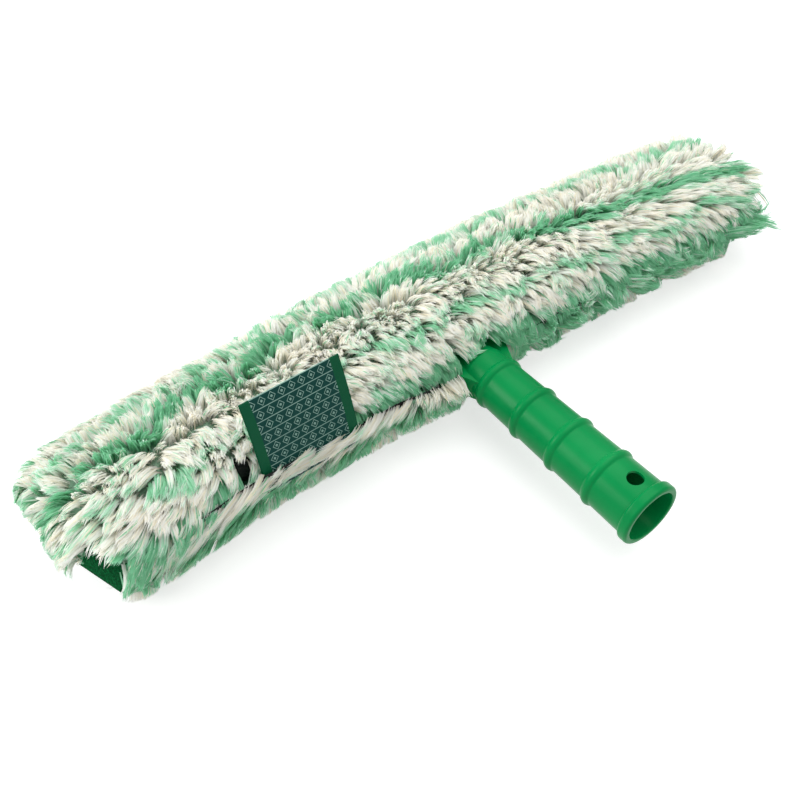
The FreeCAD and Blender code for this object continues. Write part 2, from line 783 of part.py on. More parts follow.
pieces = [
    handle, crossbar, end_cap_left, end_cap_right, bar_screws,
    rear_fold, upper_panel, lower_panel,
] + closing_strips + [end_tab_left, end_tab_right, woven_label]

for item in doc.Objects:
    if "Invalid" in item.State or "Error" in item.State:
        raise RuntimeError(f"{item.Label} did not build: {item.State}")
for piece in pieces:
    if piece.Shape.isNull() or not piece.Shape.isValid():
        raise RuntimeError(f"{piece.Label} has no sound shape")
    piece.Shape.exportStep(f"parts/{piece.Label}.step")
    box = piece.Shape.BoundBox
    print(f"{piece.Label}: {len(piece.Shape.Solids)} solid, {piece.Shape.Volume / 1000:.2f} cm3, "
          f"{box.XLength:.1f} x {box.YLength:.1f} x {box.ZLength:.1f} mm")
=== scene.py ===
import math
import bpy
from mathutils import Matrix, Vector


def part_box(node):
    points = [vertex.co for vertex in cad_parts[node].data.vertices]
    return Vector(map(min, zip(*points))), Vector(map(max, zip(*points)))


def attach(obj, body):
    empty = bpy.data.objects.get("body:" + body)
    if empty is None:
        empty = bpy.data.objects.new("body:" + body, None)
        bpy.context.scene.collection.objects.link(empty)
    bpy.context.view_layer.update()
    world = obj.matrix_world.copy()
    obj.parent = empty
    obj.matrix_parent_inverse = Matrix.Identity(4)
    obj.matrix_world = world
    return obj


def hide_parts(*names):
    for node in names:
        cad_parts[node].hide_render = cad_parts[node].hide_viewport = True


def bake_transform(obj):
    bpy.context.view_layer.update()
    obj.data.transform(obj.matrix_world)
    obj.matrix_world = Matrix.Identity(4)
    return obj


bl_info = {
    "name": "Window Scrubber",
    "version": (1, 0, 0),
    "blender": (4, 5, 0),
    "location": "3D View > Sidebar > Scrubber",
    "description": "Dresses a moulded T-bar with a striped plush sleeve, its label and its end tabs",
    "category": "Object",
}

import bmesh
import bpy
import numpy as np
from mathutils.kdtree import KDTree
from bpy.props import FloatProperty, FloatVectorProperty, IntProperty, PointerProperty
from bpy.types import Operator, Panel, PropertyGroup

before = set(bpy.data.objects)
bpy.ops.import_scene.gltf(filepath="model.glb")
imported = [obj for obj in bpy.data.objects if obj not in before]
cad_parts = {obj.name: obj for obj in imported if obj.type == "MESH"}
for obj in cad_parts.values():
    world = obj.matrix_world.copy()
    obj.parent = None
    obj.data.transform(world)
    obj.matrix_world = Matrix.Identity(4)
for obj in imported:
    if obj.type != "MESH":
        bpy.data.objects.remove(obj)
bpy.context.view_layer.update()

MM = 0.001
TONE_MAP = "OFBake"
RIBBON_MAP = "ribbon"

# Places read from the frame: the crossbar's axis and how far the sleeve reaches from it
bar_low, bar_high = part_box("crossbar")
BAR_Y = (bar_low.y + bar_high.y) / 2
FRONT_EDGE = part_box("lower_panel")[0].y - BAR_Y
REAR_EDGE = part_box("rear_fold")[1].y - BAR_Y
CROWN_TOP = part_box("upper_panel")[1].z
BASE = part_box("lower_panel")[0].z
SLEEVE_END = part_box("upper_panel")[1].x
LIP_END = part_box("lower_panel")[1].x

# Curves of the sleeve's section, as the solids have them
CROWN_RADIUS = 130 * MM
CROWN_SHIFT = -4 * MM
SHOULDER_RADIUS = 27 * MM
SLIT_HEIGHT = 7 * MM
SLIT_HALF_GAP = 0.2 * MM
STRIP_PROUD = 0.6 * MM
POCKET_FRONT = -23.5 * MM
POCKET_ROOF = 9.4 * MM
POCKET_END = 206 * MM


def screen(red, green, blue):
    """A colour given as it looks on a screen, from 0 to 255, as the linear values that shaders take."""
    linear = []
    for part in (red, green, blue):
        share = part / 255
        linear.append(share / 12.92 if share <= 0.04045 else ((share + 0.055) / 1.055) ** 2.4)
    return tuple(linear)


class SleeveLook(PropertyGroup):
    pile_length: FloatProperty(
        name="Pile length", description="Height of the pile above its cloth", default=9 * MM, unit="LENGTH"
    )
    lock_spacing: FloatProperty(
        name="Lock spacing", description="Between neighbouring locks of pile", default=3.8 * MM, unit="LENGTH"
    )
    strands_per_lock: IntProperty(
        name="Strands per lock", description="Strands that lean together in one lock", default=24
    )
    strand_width: FloatProperty(
        name="Strand width", description="Thickness of one strand", default=0.8 * MM, unit="LENGTH"
    )
    lock_pull: FloatProperty(
        name="Lock pull", description="How far a lock's tips draw together", default=0.55, subtype="FACTOR"
    )
    tuft_pull: FloatProperty(
        name="Tuft pull", description="How far neighbouring locks draw together",
        default=0.28, subtype="FACTOR",
    )
    end_curve: FloatProperty(
        name="End curve", description="Rounding of the cloth at the sleeve's ends",
        default=21 * MM, unit="LENGTH",
    )
    end_inset: FloatProperty(
        name="End inset", description="How far the cloth draws in at its ends", default=14 * MM, unit="LENGTH"
    )
    bow: FloatProperty(
        name="Bow", description="How far the ends lie forward of the middle", default=10.5 * MM, unit="LENGTH"
    )
    fullness: FloatProperty(
        name="Fullness", description="Share of the solids' depth that the pile fills",
        default=0.913, subtype="FACTOR",
    )
    cream: FloatVectorProperty(
        name="Cream", description="Warm pale pile", default=screen(250, 243, 224), subtype="COLOR"
    )
    white: FloatVectorProperty(
        name="White", description="Cool pale pile", default=screen(255, 255, 252), subtype="COLOR"
    )
    mint: FloatVectorProperty(
        name="Mint", description="Light green pile", default=screen(214, 244, 226), subtype="COLOR"
    )
    green: FloatVectorProperty(
        name="Green", description="Full green pile", default=screen(168, 229, 194), subtype="COLOR"
    )
    deep_green: FloatVectorProperty(
        name="Deep green", description="Darkest green pile", default=screen(106, 196, 150), subtype="COLOR"
    )
    backing: FloatVectorProperty(
        name="Backing", description="Knitted inner face", default=screen(214, 210, 196), subtype="COLOR"
    )
    ground: FloatVectorProperty(
        name="Ground", description="Cloth between the roots of the pile",
        default=screen(150, 190, 164), subtype="COLOR",
    )


class MouldingLook(PropertyGroup):
    handle_green: FloatVectorProperty(
        name="Handle green", description="Moulded grip", default=screen(0, 138, 71), subtype="COLOR"
    )
    bar_green: FloatVectorProperty(
        name="Bar green", description="Crossbar and its caps", default=screen(0, 128, 70), subtype="COLOR"
    )
    gloss_roughness: FloatProperty(
        name="Roughness", description="Satin of the moulded grip", default=0.3, subtype="FACTOR"
    )
    steel: FloatVectorProperty(
        name="Screw steel", description="Plated screws", default=screen(190, 192, 196), subtype="COLOR"
    )


class RibbonLook(PropertyGroup):
    width: FloatProperty(
        name="Label width", description="Label along the sleeve", default=55 * MM, unit="LENGTH"
    )
    middle: FloatProperty(
        name="Label middle", description="Label's middle from the handle", default=-112.5 * MM, unit="LENGTH"
    )
    thickness: FloatProperty(
        name="Label thickness", description="Folded ribbon", default=0.9 * MM, unit="LENGTH"
    )
    edge_band: FloatVectorProperty(
        name="Edge bands", description="Plain bands at the label's sides",
        default=screen(0, 92, 58), subtype="COLOR",
    )
    field: FloatVectorProperty(
        name="Field", description="Ground of the woven motif", default=screen(4, 70, 64), subtype="COLOR"
    )
    motif: FloatVectorProperty(
        name="Motif", description="Pale weft of the motif", default=screen(162, 202, 188), subtype="COLOR"
    )
    tab_green: FloatVectorProperty(
        name="Tab green", description="Napped end tabs", default=screen(6, 92, 48), subtype="COLOR"
    )
    # Near-black: the lips' binding, darkened as painted shade in the slit and in the hollow beside the label
    binding: FloatVectorProperty(
        name="Lip binding", description="Tape round the lips of the slit",
        default=screen(3, 20, 14), subtype="COLOR",
    )
    tape_green: FloatVectorProperty(
        name="Tape green", description="Closing tapes", default=screen(14, 84, 50), subtype="COLOR"
    )


class StageLook(PropertyGroup):
    lens: FloatProperty(name="Lens", description="Camera lens in millimetres", default=44.31)
    azimuth: FloatProperty(
        name="Azimuth", description="Camera turn about the upright",
        default=math.radians(-37.5), subtype="ANGLE",
    )
    elevation: FloatProperty(
        name="Elevation", description="Camera above the horizon", default=math.radians(47.59), subtype="ANGLE"
    )
    camera_place: FloatVectorProperty(
        name="Camera place", description="Where the camera stands",
        default=(-0.26336, -0.14647, 0.38497), subtype="TRANSLATION", unit="LENGTH",
    )
    key_power: FloatProperty(name="Key light", description="Large soft box in watts", default=10.6)
    side_power: FloatProperty(name="Side light", description="Low soft box in watts", default=20.0)
    ambient: FloatProperty(name="Ambient", description="Light from all round", default=0.6, subtype="FACTOR")


# Shader helpers

def add_node(tree, kind, settings=None, **inputs):
    """Adds a shader node, sets its own settings and its input values or links by name."""
    node = tree.nodes.new(kind)
    for name, value in (settings or {}).items():
        setattr(node, name, value)
    put_all(tree, node, **inputs)
    return node


def put_all(tree, node, **inputs):
    """Sets inputs of a node by name, written with a low line for each space."""
    for name, value in inputs.items():
        put(tree, node, name.replace("_", " "), value)


def put(tree, node, name, value):
    """Sets one input of a node, by a link where the value is a socket."""
    socket = node.inputs[int(name)] if name.isdigit() else node.inputs[name]
    if isinstance(value, bpy.types.NodeSocket):
        tree.links.new(value, socket)
    elif isinstance(value, (tuple, list)) and len(value) == 3 and socket.type == "RGBA":
        socket.default_value = (*value, 1.0)
    else:
        socket.default_value = value


def calc(tree, operation, first, second=0.0, third=0.0):
    """A Math node's value."""
    node = tree.nodes.new("ShaderNodeMath")
    node.operation = operation
    for index, value in enumerate((first, second, third)):
        put(tree, node, str(index), value)
    return node.outputs[0]


def blend_colours(tree, share, first, second, blend_type="MIX"):
    """A colour between two colours."""
    node = tree.nodes.new("ShaderNodeMix")
    node.data_type = "RGBA"
    node.blend_type = blend_type
    put(tree, node, "0", share)
    put(tree, node, "6", colour4(first))
    put(tree, node, "7", colour4(second))
    return node.outputs[2]


def colour4(value):
    """A colour with its fourth value, or the socket it comes from."""
    if isinstance(value, bpy.types.NodeSocket):
        return value
    return (*tuple(value)[:3], 1.0)


def ramp(tree, share, stops):
    """A colour ramp through (place, colour) stops."""
    node = tree.nodes.new("ShaderNodeValToRGB")
    put(tree, node, "Fac", share)
    band = node.color_ramp
    while len(band.elements) < len(stops):
        band.elements.new(0.5)
    for element, (place, colour) in zip(band.elements, stops):
        element.position = place
        element.color = colour4(colour)
    return node.outputs["Color"]


def scaled(colour, factor):
    """A darker or lighter colour, with no part above 1."""
    return tuple(min(1.0, factor * part) for part in colour)


def bare_tree(owner, output_kind):
    """The node tree of a material or world with nothing in it but its output, as (tree, output)."""
    owner.use_nodes = True
    tree = owner.node_tree
    tree.nodes.clear()
    return tree, tree.nodes.new(output_kind)


def new_material(name):
    """An empty material with its Principled shader, as (material, tree, shader)."""
    material = bpy.data.materials.new(name)
    tree, output = bare_tree(material, "ShaderNodeOutputMaterial")
    shader = tree.nodes.new("ShaderNodeBsdfPrincipled")
    tree.links.new(shader.outputs[0], output.inputs["Surface"])
    return material, tree, shader


def bump(tree, shader, height, strength, distance):
    """Feeds a height to the shader's normal."""
    node = add_node(tree, "ShaderNodeBump", Height=height, Strength=strength, Distance=distance)
    tree.links.new(node.outputs["Normal"], shader.inputs["Normal"])


def use_group(tree, group, **values):
    """Places a node group in a material with its own values."""
    return add_node(tree, "ShaderNodeGroup", {"node_tree": group}, **values)


def new_group(name, inputs, outputs):
    """A shader node group with named sockets, as (group, its input node, its output node)."""
    group = bpy.data.node_groups.new(name, "ShaderNodeTree")
    for socket_name, socket_type, value in inputs:
        socket = group.interface.new_socket(name=socket_name, in_out="INPUT", socket_type=socket_type)
        if value is not None:
            socket.default_value = value
    for socket_name, socket_type in outputs:
        group.interface.new_socket(name=socket_name, in_out="OUTPUT", socket_type=socket_type)
    return group, group.nodes.new("NodeGroupInput"), group.nodes.new("NodeGroupOutput")


def grain_group():
    """Moulded or worn grain: a fine height, and a slow mottle for colour and roughness."""
    found = bpy.data.node_groups.get("surface_grain")
    if found:
        return found
    group, entry, leave = new_group(
        "surface_grain",
        [("Fine Scale", "NodeSocketFloat", 900.0), ("Slow Scale", "NodeSocketFloat", 30.0)],
        [("Height", "NodeSocketFloat"), ("Mottle", "NodeSocketFloat")],
    )
    place = group.nodes.new("ShaderNodeTexCoord").outputs["Object"]
    for scale, output, detail, roughness in (
        ("Fine Scale", "Height", 4.0, 0.6),
        ("Slow Scale", "Mottle", 3.0, 0.5),
    ):
        noise = add_node(group, "ShaderNodeTexNoise", Vector=place, Scale=entry.outputs[scale])
        put_all(group, noise, Detail=detail, Roughness=roughness)
        group.links.new(noise.outputs["Fac"], leave.inputs[output])
    return group


def weave_group():
    """Plain weave over a map: warp and weft ribs as a height, and a mask of the weft threads."""
    found = bpy.data.node_groups.get("thread_weave")
    if found:
        return found
    group, entry, leave = new_group(
        "thread_weave",
        [
            ("Across", "NodeSocketFloat", 0.0),
            ("Along", "NodeSocketFloat", 0.0),
            ("Warp Count", "NodeSocketFloat", 100.0),
            ("Weft Count", "NodeSocketFloat", 100.0),
        ],
        [("Height", "NodeSocketFloat"), ("Weft", "NodeSocketFloat")],
    )
    turn = 2 * math.pi
    warp_turn = calc(group, "MULTIPLY", entry.outputs["Across"], entry.outputs["Warp Count"])
    weft_turn = calc(group, "MULTIPLY", entry.outputs["Along"], entry.outputs["Weft Count"])
    warp = calc(group, "SINE", calc(group, "MULTIPLY", warp_turn, turn))
    weft = calc(group, "SINE", calc(group, "MULTIPLY", weft_turn, turn))
    over = calc(group, "MULTIPLY", warp, weft)
    height = calc(group, "MULTIPLY_ADD", over, 0.5, 0.5)
    rib = calc(group, "MULTIPLY_ADD", weft, 0.5, 0.5)
    group.links.new(height, leave.inputs["Height"])
    group.links.new(rib, leave.inputs["Weft"])
    return group


# Mesh helpers

def new_object(name, mesh, *materials):
    """Links a mesh into the scene with its materials."""
    piece = bpy.data.objects.new(name, mesh)
    bpy.context.scene.collection.objects.link(piece)
    for material in materials:
        mesh.materials.append(material)
    return piece


def finished_mesh(form, name):
    """A mesh with a bmesh's shape, which is then freed."""
    mesh = bpy.data.meshes.new(name)
    form.to_mesh(mesh)
    form.free()
    return mesh


def unit(vectors):
    """The same directions, row by row, with length 1."""
    return vectors / np.linalg.norm(vectors, axis=1)[:, None]


def paint(node, material):
    """Gives a solid of the frame one material."""
    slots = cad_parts[node].data.materials
    slots.clear()
    slots.append(material)


# Shares and tables over the sleeve

def rising(value, start, run):
    """0 up to start, then a straight rise to 1 over that run."""
    return np.clip((value - start) / run, 0, 1)


def by_table(place, stations, values):
    """A value that changes along or round the sleeve, from stations in millimetres."""
    return np.interp(place / MM, stations, values)


# The sleeve's section, from the upper lip over the crown and the fold, under the base, to the lower lip

def section_arcs():
    """The section's curves as (centre y, centre z, radius, first angle, last angle); a flat has no radius."""
    crown_z = CROWN_TOP - CROWN_RADIUS
    reach = CROWN_RADIUS - SHOULDER_RADIUS
    front_y = FRONT_EDGE + SHOULDER_RADIUS
    rear_y = REAR_EDGE - SHOULDER_RADIUS
    front_z = crown_z + math.sqrt(reach**2 - (front_y - CROWN_SHIFT) ** 2)
    rear_z = crown_z + math.sqrt(reach**2 - (rear_y - CROWN_SHIFT) ** 2)
    front_meet = math.atan2(front_z - crown_z, front_y - CROWN_SHIFT)
    rear_meet = math.atan2(rear_z - crown_z, rear_y - CROWN_SHIFT)
    upper_lip = math.pi - math.asin((SLIT_HEIGHT - front_z) / SHOULDER_RADIUS)
    front_belly = front_z - BASE
    rear_belly = rear_z - BASE
    quarter = math.pi / 2
    return [
        (front_y, front_z, SHOULDER_RADIUS, upper_lip, front_meet),
        (CROWN_SHIFT, crown_z, CROWN_RADIUS, front_meet, rear_meet),
        (rear_y, rear_z, SHOULDER_RADIUS, rear_meet, 0.0),
        (REAR_EDGE - rear_belly, rear_z, rear_belly, 0.0, -quarter),
        (REAR_EDGE - rear_belly, FRONT_EDGE + front_belly, None, BASE, -quarter),
        (FRONT_EDGE + front_belly, front_z, front_belly, -quarter, -2 * quarter),
        (front_y, front_z, SHOULDER_RADIUS, -2 * quarter, upper_lip - 4 * quarter),
    ]


def section_table():
    """The section as a fine table: way round, y, z and the angle of the outward normal."""
    steps = 90
    rows = []
    way = 0.0
    for first, second, radius, start, last in section_arcs():
        for share in np.linspace(0, 1, steps):
            if radius is None:
                rows.append((way + share * (first - second), first + share * (second - first), start, last))
            else:
                angle = start + share * (last - start)
                across = first + radius * math.cos(angle)
                height = second + radius * math.sin(angle)
                rows.append((way + share * radius * (start - last), across, height, angle))
        way = rows[-1][0]
    return np.array(rows)


SECTION = section_table()
SECTION_LENGTH = SECTION[-1, 0]
REAR_MIDDLE = float(np.interp(0.0, -SECTION[:, 3], SECTION[:, 0]))


def section_at(way):
    """y, z and normal angle at that way round the section."""
    return tuple(np.interp(way, SECTION[:, 0], SECTION[:, column]) for column in (1, 2, 3))


MIDDLE_Y = CROWN_SHIFT
MIDDLE_Z = 1 * MM
SWEEP = np.unwrap(np.arctan2(SECTION[:, 2] - MIDDLE_Z, SECTION[:, 1] - MIDDLE_Y))
SWEEP_RADIUS = np.hypot(SECTION[:, 2] - MIDDLE_Z, SECTION[:, 1] - MIDDLE_Y)


def shape_radius(along, sweep, end, rounding):
    """How far the sleeve's skin is from its middle line, less towards its rounded ends."""
    base = np.interp(sweep, SWEEP[::-1], SWEEP_RADIUS[::-1], period=2 * math.pi)
    beyond = rising(np.abs(along), end - rounding, rounding)
    return base - rounding * (1 - np.sqrt(1 - beyond**2))


RIPPLE_WAVES = 8


def ripple(rng, wavelength, locks):
    """A smooth random field at the locks, mostly from -1 to 1, with bumps of about that wavelength."""
    phases = rng.uniform(0, 2 * math.pi, RIPPLE_WAVES)
    headings = rng.uniform(0, 2 * math.pi, RIPPLE_WAVES)
    lengths = wavelength * rng.uniform(0.7, 1.5, RIPPLE_WAVES)
    total = np.zeros_like(locks.along)
    for phase, heading, length in zip(phases, headings, lengths):
        way = locks.along * math.cos(heading) + locks.around * math.sin(heading)
        total += np.sin(way * 2 * math.pi / length + phase)
    return total / math.sqrt(RIPPLE_WAVES)


# Green stripes of the pile: where each runs along the sleeve, as millimetres round from the upper lip
STRIPE_SPREAD = 0.86
STRIPE_STATIONS = (-230, -150, -60, 40, 120, 210)
STRIPES = (
    {"way": (8, 10, 10, 8, 6, 6), "half": 12, "strength": 1.0, "depth": 0.75},
    {"way": (43, 43, 46, 38, 32, 28), "half": 4, "strength": 0.72, "depth": 0.4},
    {"way": (63, 73, 78, 70, 59, 51), "half": 6, "strength": 1.0, "depth": 0.8},
    {"way": (88, 88, 94, 93, 88, 84), "half": 5, "strength": 0.7, "depth": 0.3},
    {"way": (112, 114, 113, 115, 112, 110), "half": 6, "strength": 0.9, "depth": 0.5},
    {"way": (140, 142, 138, 141, 139, 142), "half": 8, "strength": 1.0, "depth": 0.7},
    {"way": (172, 169, 171, 174, 170, 172), "half": 6, "strength": 0.9, "depth": 0.5},
    {"way": (203, 205, 201, 204, 206, 203), "half": 8, "strength": 1.0, "depth": 0.7},
    {"way": (234, 232, 235, 233, 236, 234), "half": 6, "strength": 0.9, "depth": 0.6},
    {"way": (258, 257, 259, 257, 258, 259), "half": 9, "strength": 0.85, "depth": 0.6},
    {"way": (300, 300, 300, 270, 268, 266), "half": 12, "strength": 0.75, "depth": 0.6},
)


def stripe_share(along, around, breaks):
    """How green the pile is at a place, from 0 to about 1, and how deep that green is."""
    share = np.zeros_like(along)
    depth = np.zeros_like(along)
    for stripe in STRIPES:
        centre = by_table(along, STRIPE_STATIONS, stripe["way"]) * MM
        half = STRIPE_SPREAD * stripe["half"] * MM
        band = stripe["strength"] * np.exp(-(((around - centre) / half) ** 4))
        depth = np.where(band > share, stripe["depth"], depth)
        share = np.maximum(share, band)
    return share * (1 + 0.25 * breaks), depth


# Pile

BLUNT_END = 0.4
REAR_BLUNT = 0.8
LOW_BLUNT = 1.3

# How far the low left end draws in, from where along the sleeve and below what height
LOW_LEFT_INSET = 7 * MM
LOW_LEFT_START = 200 * MM
LOW_LEFT_RUN = 40 * MM
LOW_TOP = 8 * MM
LOW_RUN = 25 * MM


def end_bluntness(side, around):
    """How far the sleeve's rounding is kept at an end: less at the right end and behind."""
    behind = by_table(around, (45, 85, 150, 190, 230), (1.0, REAR_BLUNT, REAR_BLUNT, 1.0, LOW_BLUNT))
    return np.where(side > 0, BLUNT_END, behind)


class Locks:
    """The locks of the pile: root place, outward direction, and place along and round the sleeve."""

    def __init__(self, along, around, side, turn, inner, sleeve):
        across, height, angle = section_at(around)
        end_inset = sleeve.end_inset * end_bluntness(side, around)
        depth = sleeve.pile_length + end_inset * (1 - np.cos(turn)) + inner
        self.along = along
        self.around = around
        self.side = side
        self.turn = turn
        self.root = np.stack(
            [
                along + side * sleeve.end_curve * np.sin(turn),
                BAR_Y + across - depth * np.cos(angle),
                height - depth * np.sin(angle),
            ],
            axis=1,
        )
        endward = side * end_inset * np.sin(turn)
        radial = sleeve.end_curve * np.cos(turn)
        self.outward = unit(np.stack([endward, np.cos(angle) * radial, np.sin(angle) * radial], axis=1))
        self.round_way = np.stack([np.zeros_like(angle), np.sin(angle), -np.cos(angle)], axis=1)
        self.length_way = np.cross(self.round_way, self.outward)

    def kept(self, keep):
        for name, values in vars(self).items():
            setattr(self, name, values[keep])
        return self


FACE_RINGS = 3
END_THINNING = 0.65


def plant_locks(sleeve, rng):
    """Roots of the locks over the flanks, the rounded ends and the end faces."""
    spacing = sleeve.lock_spacing
    flank = SLEEVE_END - sleeve.pile_length - sleeve.end_curve
    rows = int(SECTION_LENGTH / spacing)
    columns = int(2 * flank / spacing)
    row, column = np.meshgrid(np.arange(rows), np.arange(columns), indexing="ij")
    around = (row + rng.uniform(0, 1, row.shape)) * SECTION_LENGTH / rows
    along = -flank + (column + rng.uniform(0, 1, row.shape)) * 2 * flank / columns
    none = np.zeros(row.size)
    parts = [(along.ravel(), around.ravel(), np.ones(row.size), none, none)]
    curve_rings = int(1.25 * sleeve.end_curve / spacing)
    end_rings = curve_rings + FACE_RINGS
    for side in (-1, 1):
        for ring in range(end_rings):
            thinned = int(rows * (1 - END_THINNING * ring / end_rings))
            share = (ring + rng.uniform(0, 1, thinned)) / curve_rings
            turn = np.minimum(share, 1) * math.pi / 2
            inner = np.maximum(ring + rng.uniform(0, 1, thinned) - curve_rings, 0) * spacing * 0.8
            ring_around = (np.arange(thinned) + rng.uniform(0, 1, thinned)) / thinned * SECTION_LENGTH
            at_end = np.full(thinned, side * flank)
            sides = np.full(thinned, float(side))
            parts.append((at_end, ring_around, sides, turn, inner))
    return Locks(*[np.concatenate(values) for values in zip(*parts)], sleeve)


LIP_DRAW = 0.5
UPPER_LIP_REACH = 16 * MM
LOWER_LIP_START = 254 * MM
LOWER_LIP_RUN = 12 * MM


def along_lip(locks):
    """Draws the lower panel's right-hand end part of the way out to the length of its lip."""
    lower = locks.around > REAR_MIDDLE
    pull = rising(locks.along, 120 * MM, 100 * MM)
    locks.root[:, 0] += np.where(lower, LIP_DRAW * pull * (LIP_END - SLEEVE_END), 0)


def by_upper_lip(around):
    """1 at the upper lip, less away from it."""
    return rising(UPPER_LIP_REACH - around, 0, UPPER_LIP_REACH)


def by_lower_lip(around):
    """1 at the lower lip, less away from it."""
    return rising(around, LOWER_LIP_START, LOWER_LIP_RUN)


def lip_leans(along):
    """How the pile of the upper and lower lips is combed beside the slit, along the sleeve."""
    stations = (-240, -200, -188, -158, -140, -85, -78, -60, -15, 40, 70, 240)
    upper = (-0.9, -0.9, -0.5, -0.5, 0.3, 0.3, -1.0, -1.4, -1.4, -1.3, -0.9, -0.8)
    lower = (0.3, 0.0, -0.5, -0.5, -0.15, -0.15, -0.4, -0.4, -0.3, 0.0, 0.2, 0.2)
    return by_table(along, stations, upper), by_table(along, stations, lower)


TUFT_SPACING = 12 * MM
TUFT_STRETCH = 0.75
TUFT_END_WAY = 15 * MM


def gather_tufts(locks, rng):
    """Gathers locks into tufts: each lock's tuft, and how far it stands from the tuft's middle."""
    count = int(2 * SLEEVE_END * SECTION_LENGTH / TUFT_SPACING**2)
    middles = KDTree(count)
    places = rng.uniform((-SLEEVE_END, 0.0), (SLEEVE_END, SECTION_LENGTH), (count, 2))
    for number, (along, around) in enumerate(places):
        middles.insert((along * TUFT_STRETCH, around, 0.0), number)
    middles.balance()
    beyond = locks.side * locks.turn * TUFT_END_WAY
    here = np.stack([locks.along + beyond, locks.around], axis=1)
    tuft = np.array([middles.find((along * TUFT_STRETCH, around, 0.0))[1] for along, around in here])
    return tuft, places[tuft] - here


def rope_share(locks):
    """Which locks lie along the rolled lower lip, on the label's side of the handle."""
    return by_lower_lip(locks.around) * rising(-locks.along, 30 * MM, 20 * MM)


FRINGE_SHIFT = 20 * MM
FRINGE_HALF = 90 * MM


def fringe_share(locks):
    """Which locks hang from the upper lip over the handle's root."""
    from_middle = np.abs(locks.along + FRINGE_SHIFT)
    return by_upper_lip(locks.around) * rising(FRINGE_HALF - from_middle, 0, 20 * MM)


LEAF_START = 228 * MM
LEAF_RUN = 12 * MM


def leaf_share(locks):
    """Which locks hang in leafy tufts from the lower lip, on the far side of the handle."""
    return rising(locks.around, LEAF_START, LEAF_RUN) * rising(locks.along, 30 * MM, 20 * MM)


SWIRL = 0.24
DRIFT = 0.32
SMALL_WAVE = 0.18
LIP_COMB = 0.85
EAR_LEAN = 0.3
ROPE_LEAN = 1.2
FRINGE_LEAN = 0.5
LEAN_SCATTER = 0.17


def lean_of(locks, rng):
    """Which way the pile is combed at each lock, along the sleeve's surface."""
    round_stations = (0, 25, 54, 64, 76, 100, 129, 160, 185, 200, 225, 246, 272)
    combed_round = (-1.2, -1.4, -1.1, -0.3, 0.5, 0.7, 0.4, 0.3, 0.5, -0.5, -0.4, -0.3, 0.0)
    length_stations = (-230, -160, -110, -60, 90, 150, 220)
    combed_along = (-0.6, -0.5, -0.1, 0.1, 0.1, 0.3, 0.5)
    at_left_end = by_table(locks.along, (-208, -170), (0.6, 1.0))
    round_lean = by_table(locks.around, round_stations, combed_round) * at_left_end
    length_lean = by_table(locks.along, length_stations, combed_along)
    drift = ripple(rng, 0.075, locks)
    swirl = ripple(rng, 0.05, locks)
    small = ripple(rng, 0.02, locks)
    round_lean = round_lean + SWIRL * swirl + SMALL_WAVE * small
    length_lean = length_lean + DRIFT * drift - SMALL_WAVE * small
    upper_lean, lower_lean = lip_leans(locks.along)
    to_upper = (upper_lean - round_lean) * by_upper_lip(locks.around)
    to_lower = (lower_lean - round_lean) * by_lower_lip(locks.around)
    round_lean += LIP_COMB * (to_upper + to_lower)
    ear = by_lower_lip(locks.around) * rising(locks.along, 190 * MM, 20 * MM)
    length_lean += EAR_LEAN * ear - ROPE_LEAN * rope_share(locks) - FRINGE_LEAN * fringe_share(locks)
    scatter = rng.normal(0, LEAN_SCATTER, (2, len(locks.around)))
    return (
        locks.round_way * (round_lean + scatter[0])[:, None]
        + locks.length_way * (length_lean + scatter[1])[:, None]
    )


STRAND_STATIONS = (0.0, 0.42, 0.78, 1.0)
STRAND_TAPER = (0.85, 1.0, 0.72)
FRIZZ = 0.07

# Strand heights, as shares of the pile's length
MEAN_HEIGHT = 1.04
SWELL = 0.1
TUFT_UNEVEN = 0.09
LEAF_UNEVEN = 0.12
FRINGE_EXTRA = 0.5
LEAF_EXTRA = 0.15
LEFT_EXTRA = 0.06

# How far tufts draw together in leaves, lie flat in the rope, and how wide a lock spreads in its spacing
LEAF_PULL = 0.3
ROPE_FLATTENING = 0.5
LOCK_REACH = 0.8

# Strands in a lock: mean, scatter, least and most of their length, and of how far they draw together
STRAND_REACH = (0.95, 0.09, 0.6, 1.12)
STRAND_PULL = (1, 0.25, 0.3, 1.35)


def scattered(rng, count, mean, scatter, least, most):
    """Random shares about a mean, held between two limits."""
    return np.clip(rng.normal(mean, scatter, count), least, most)


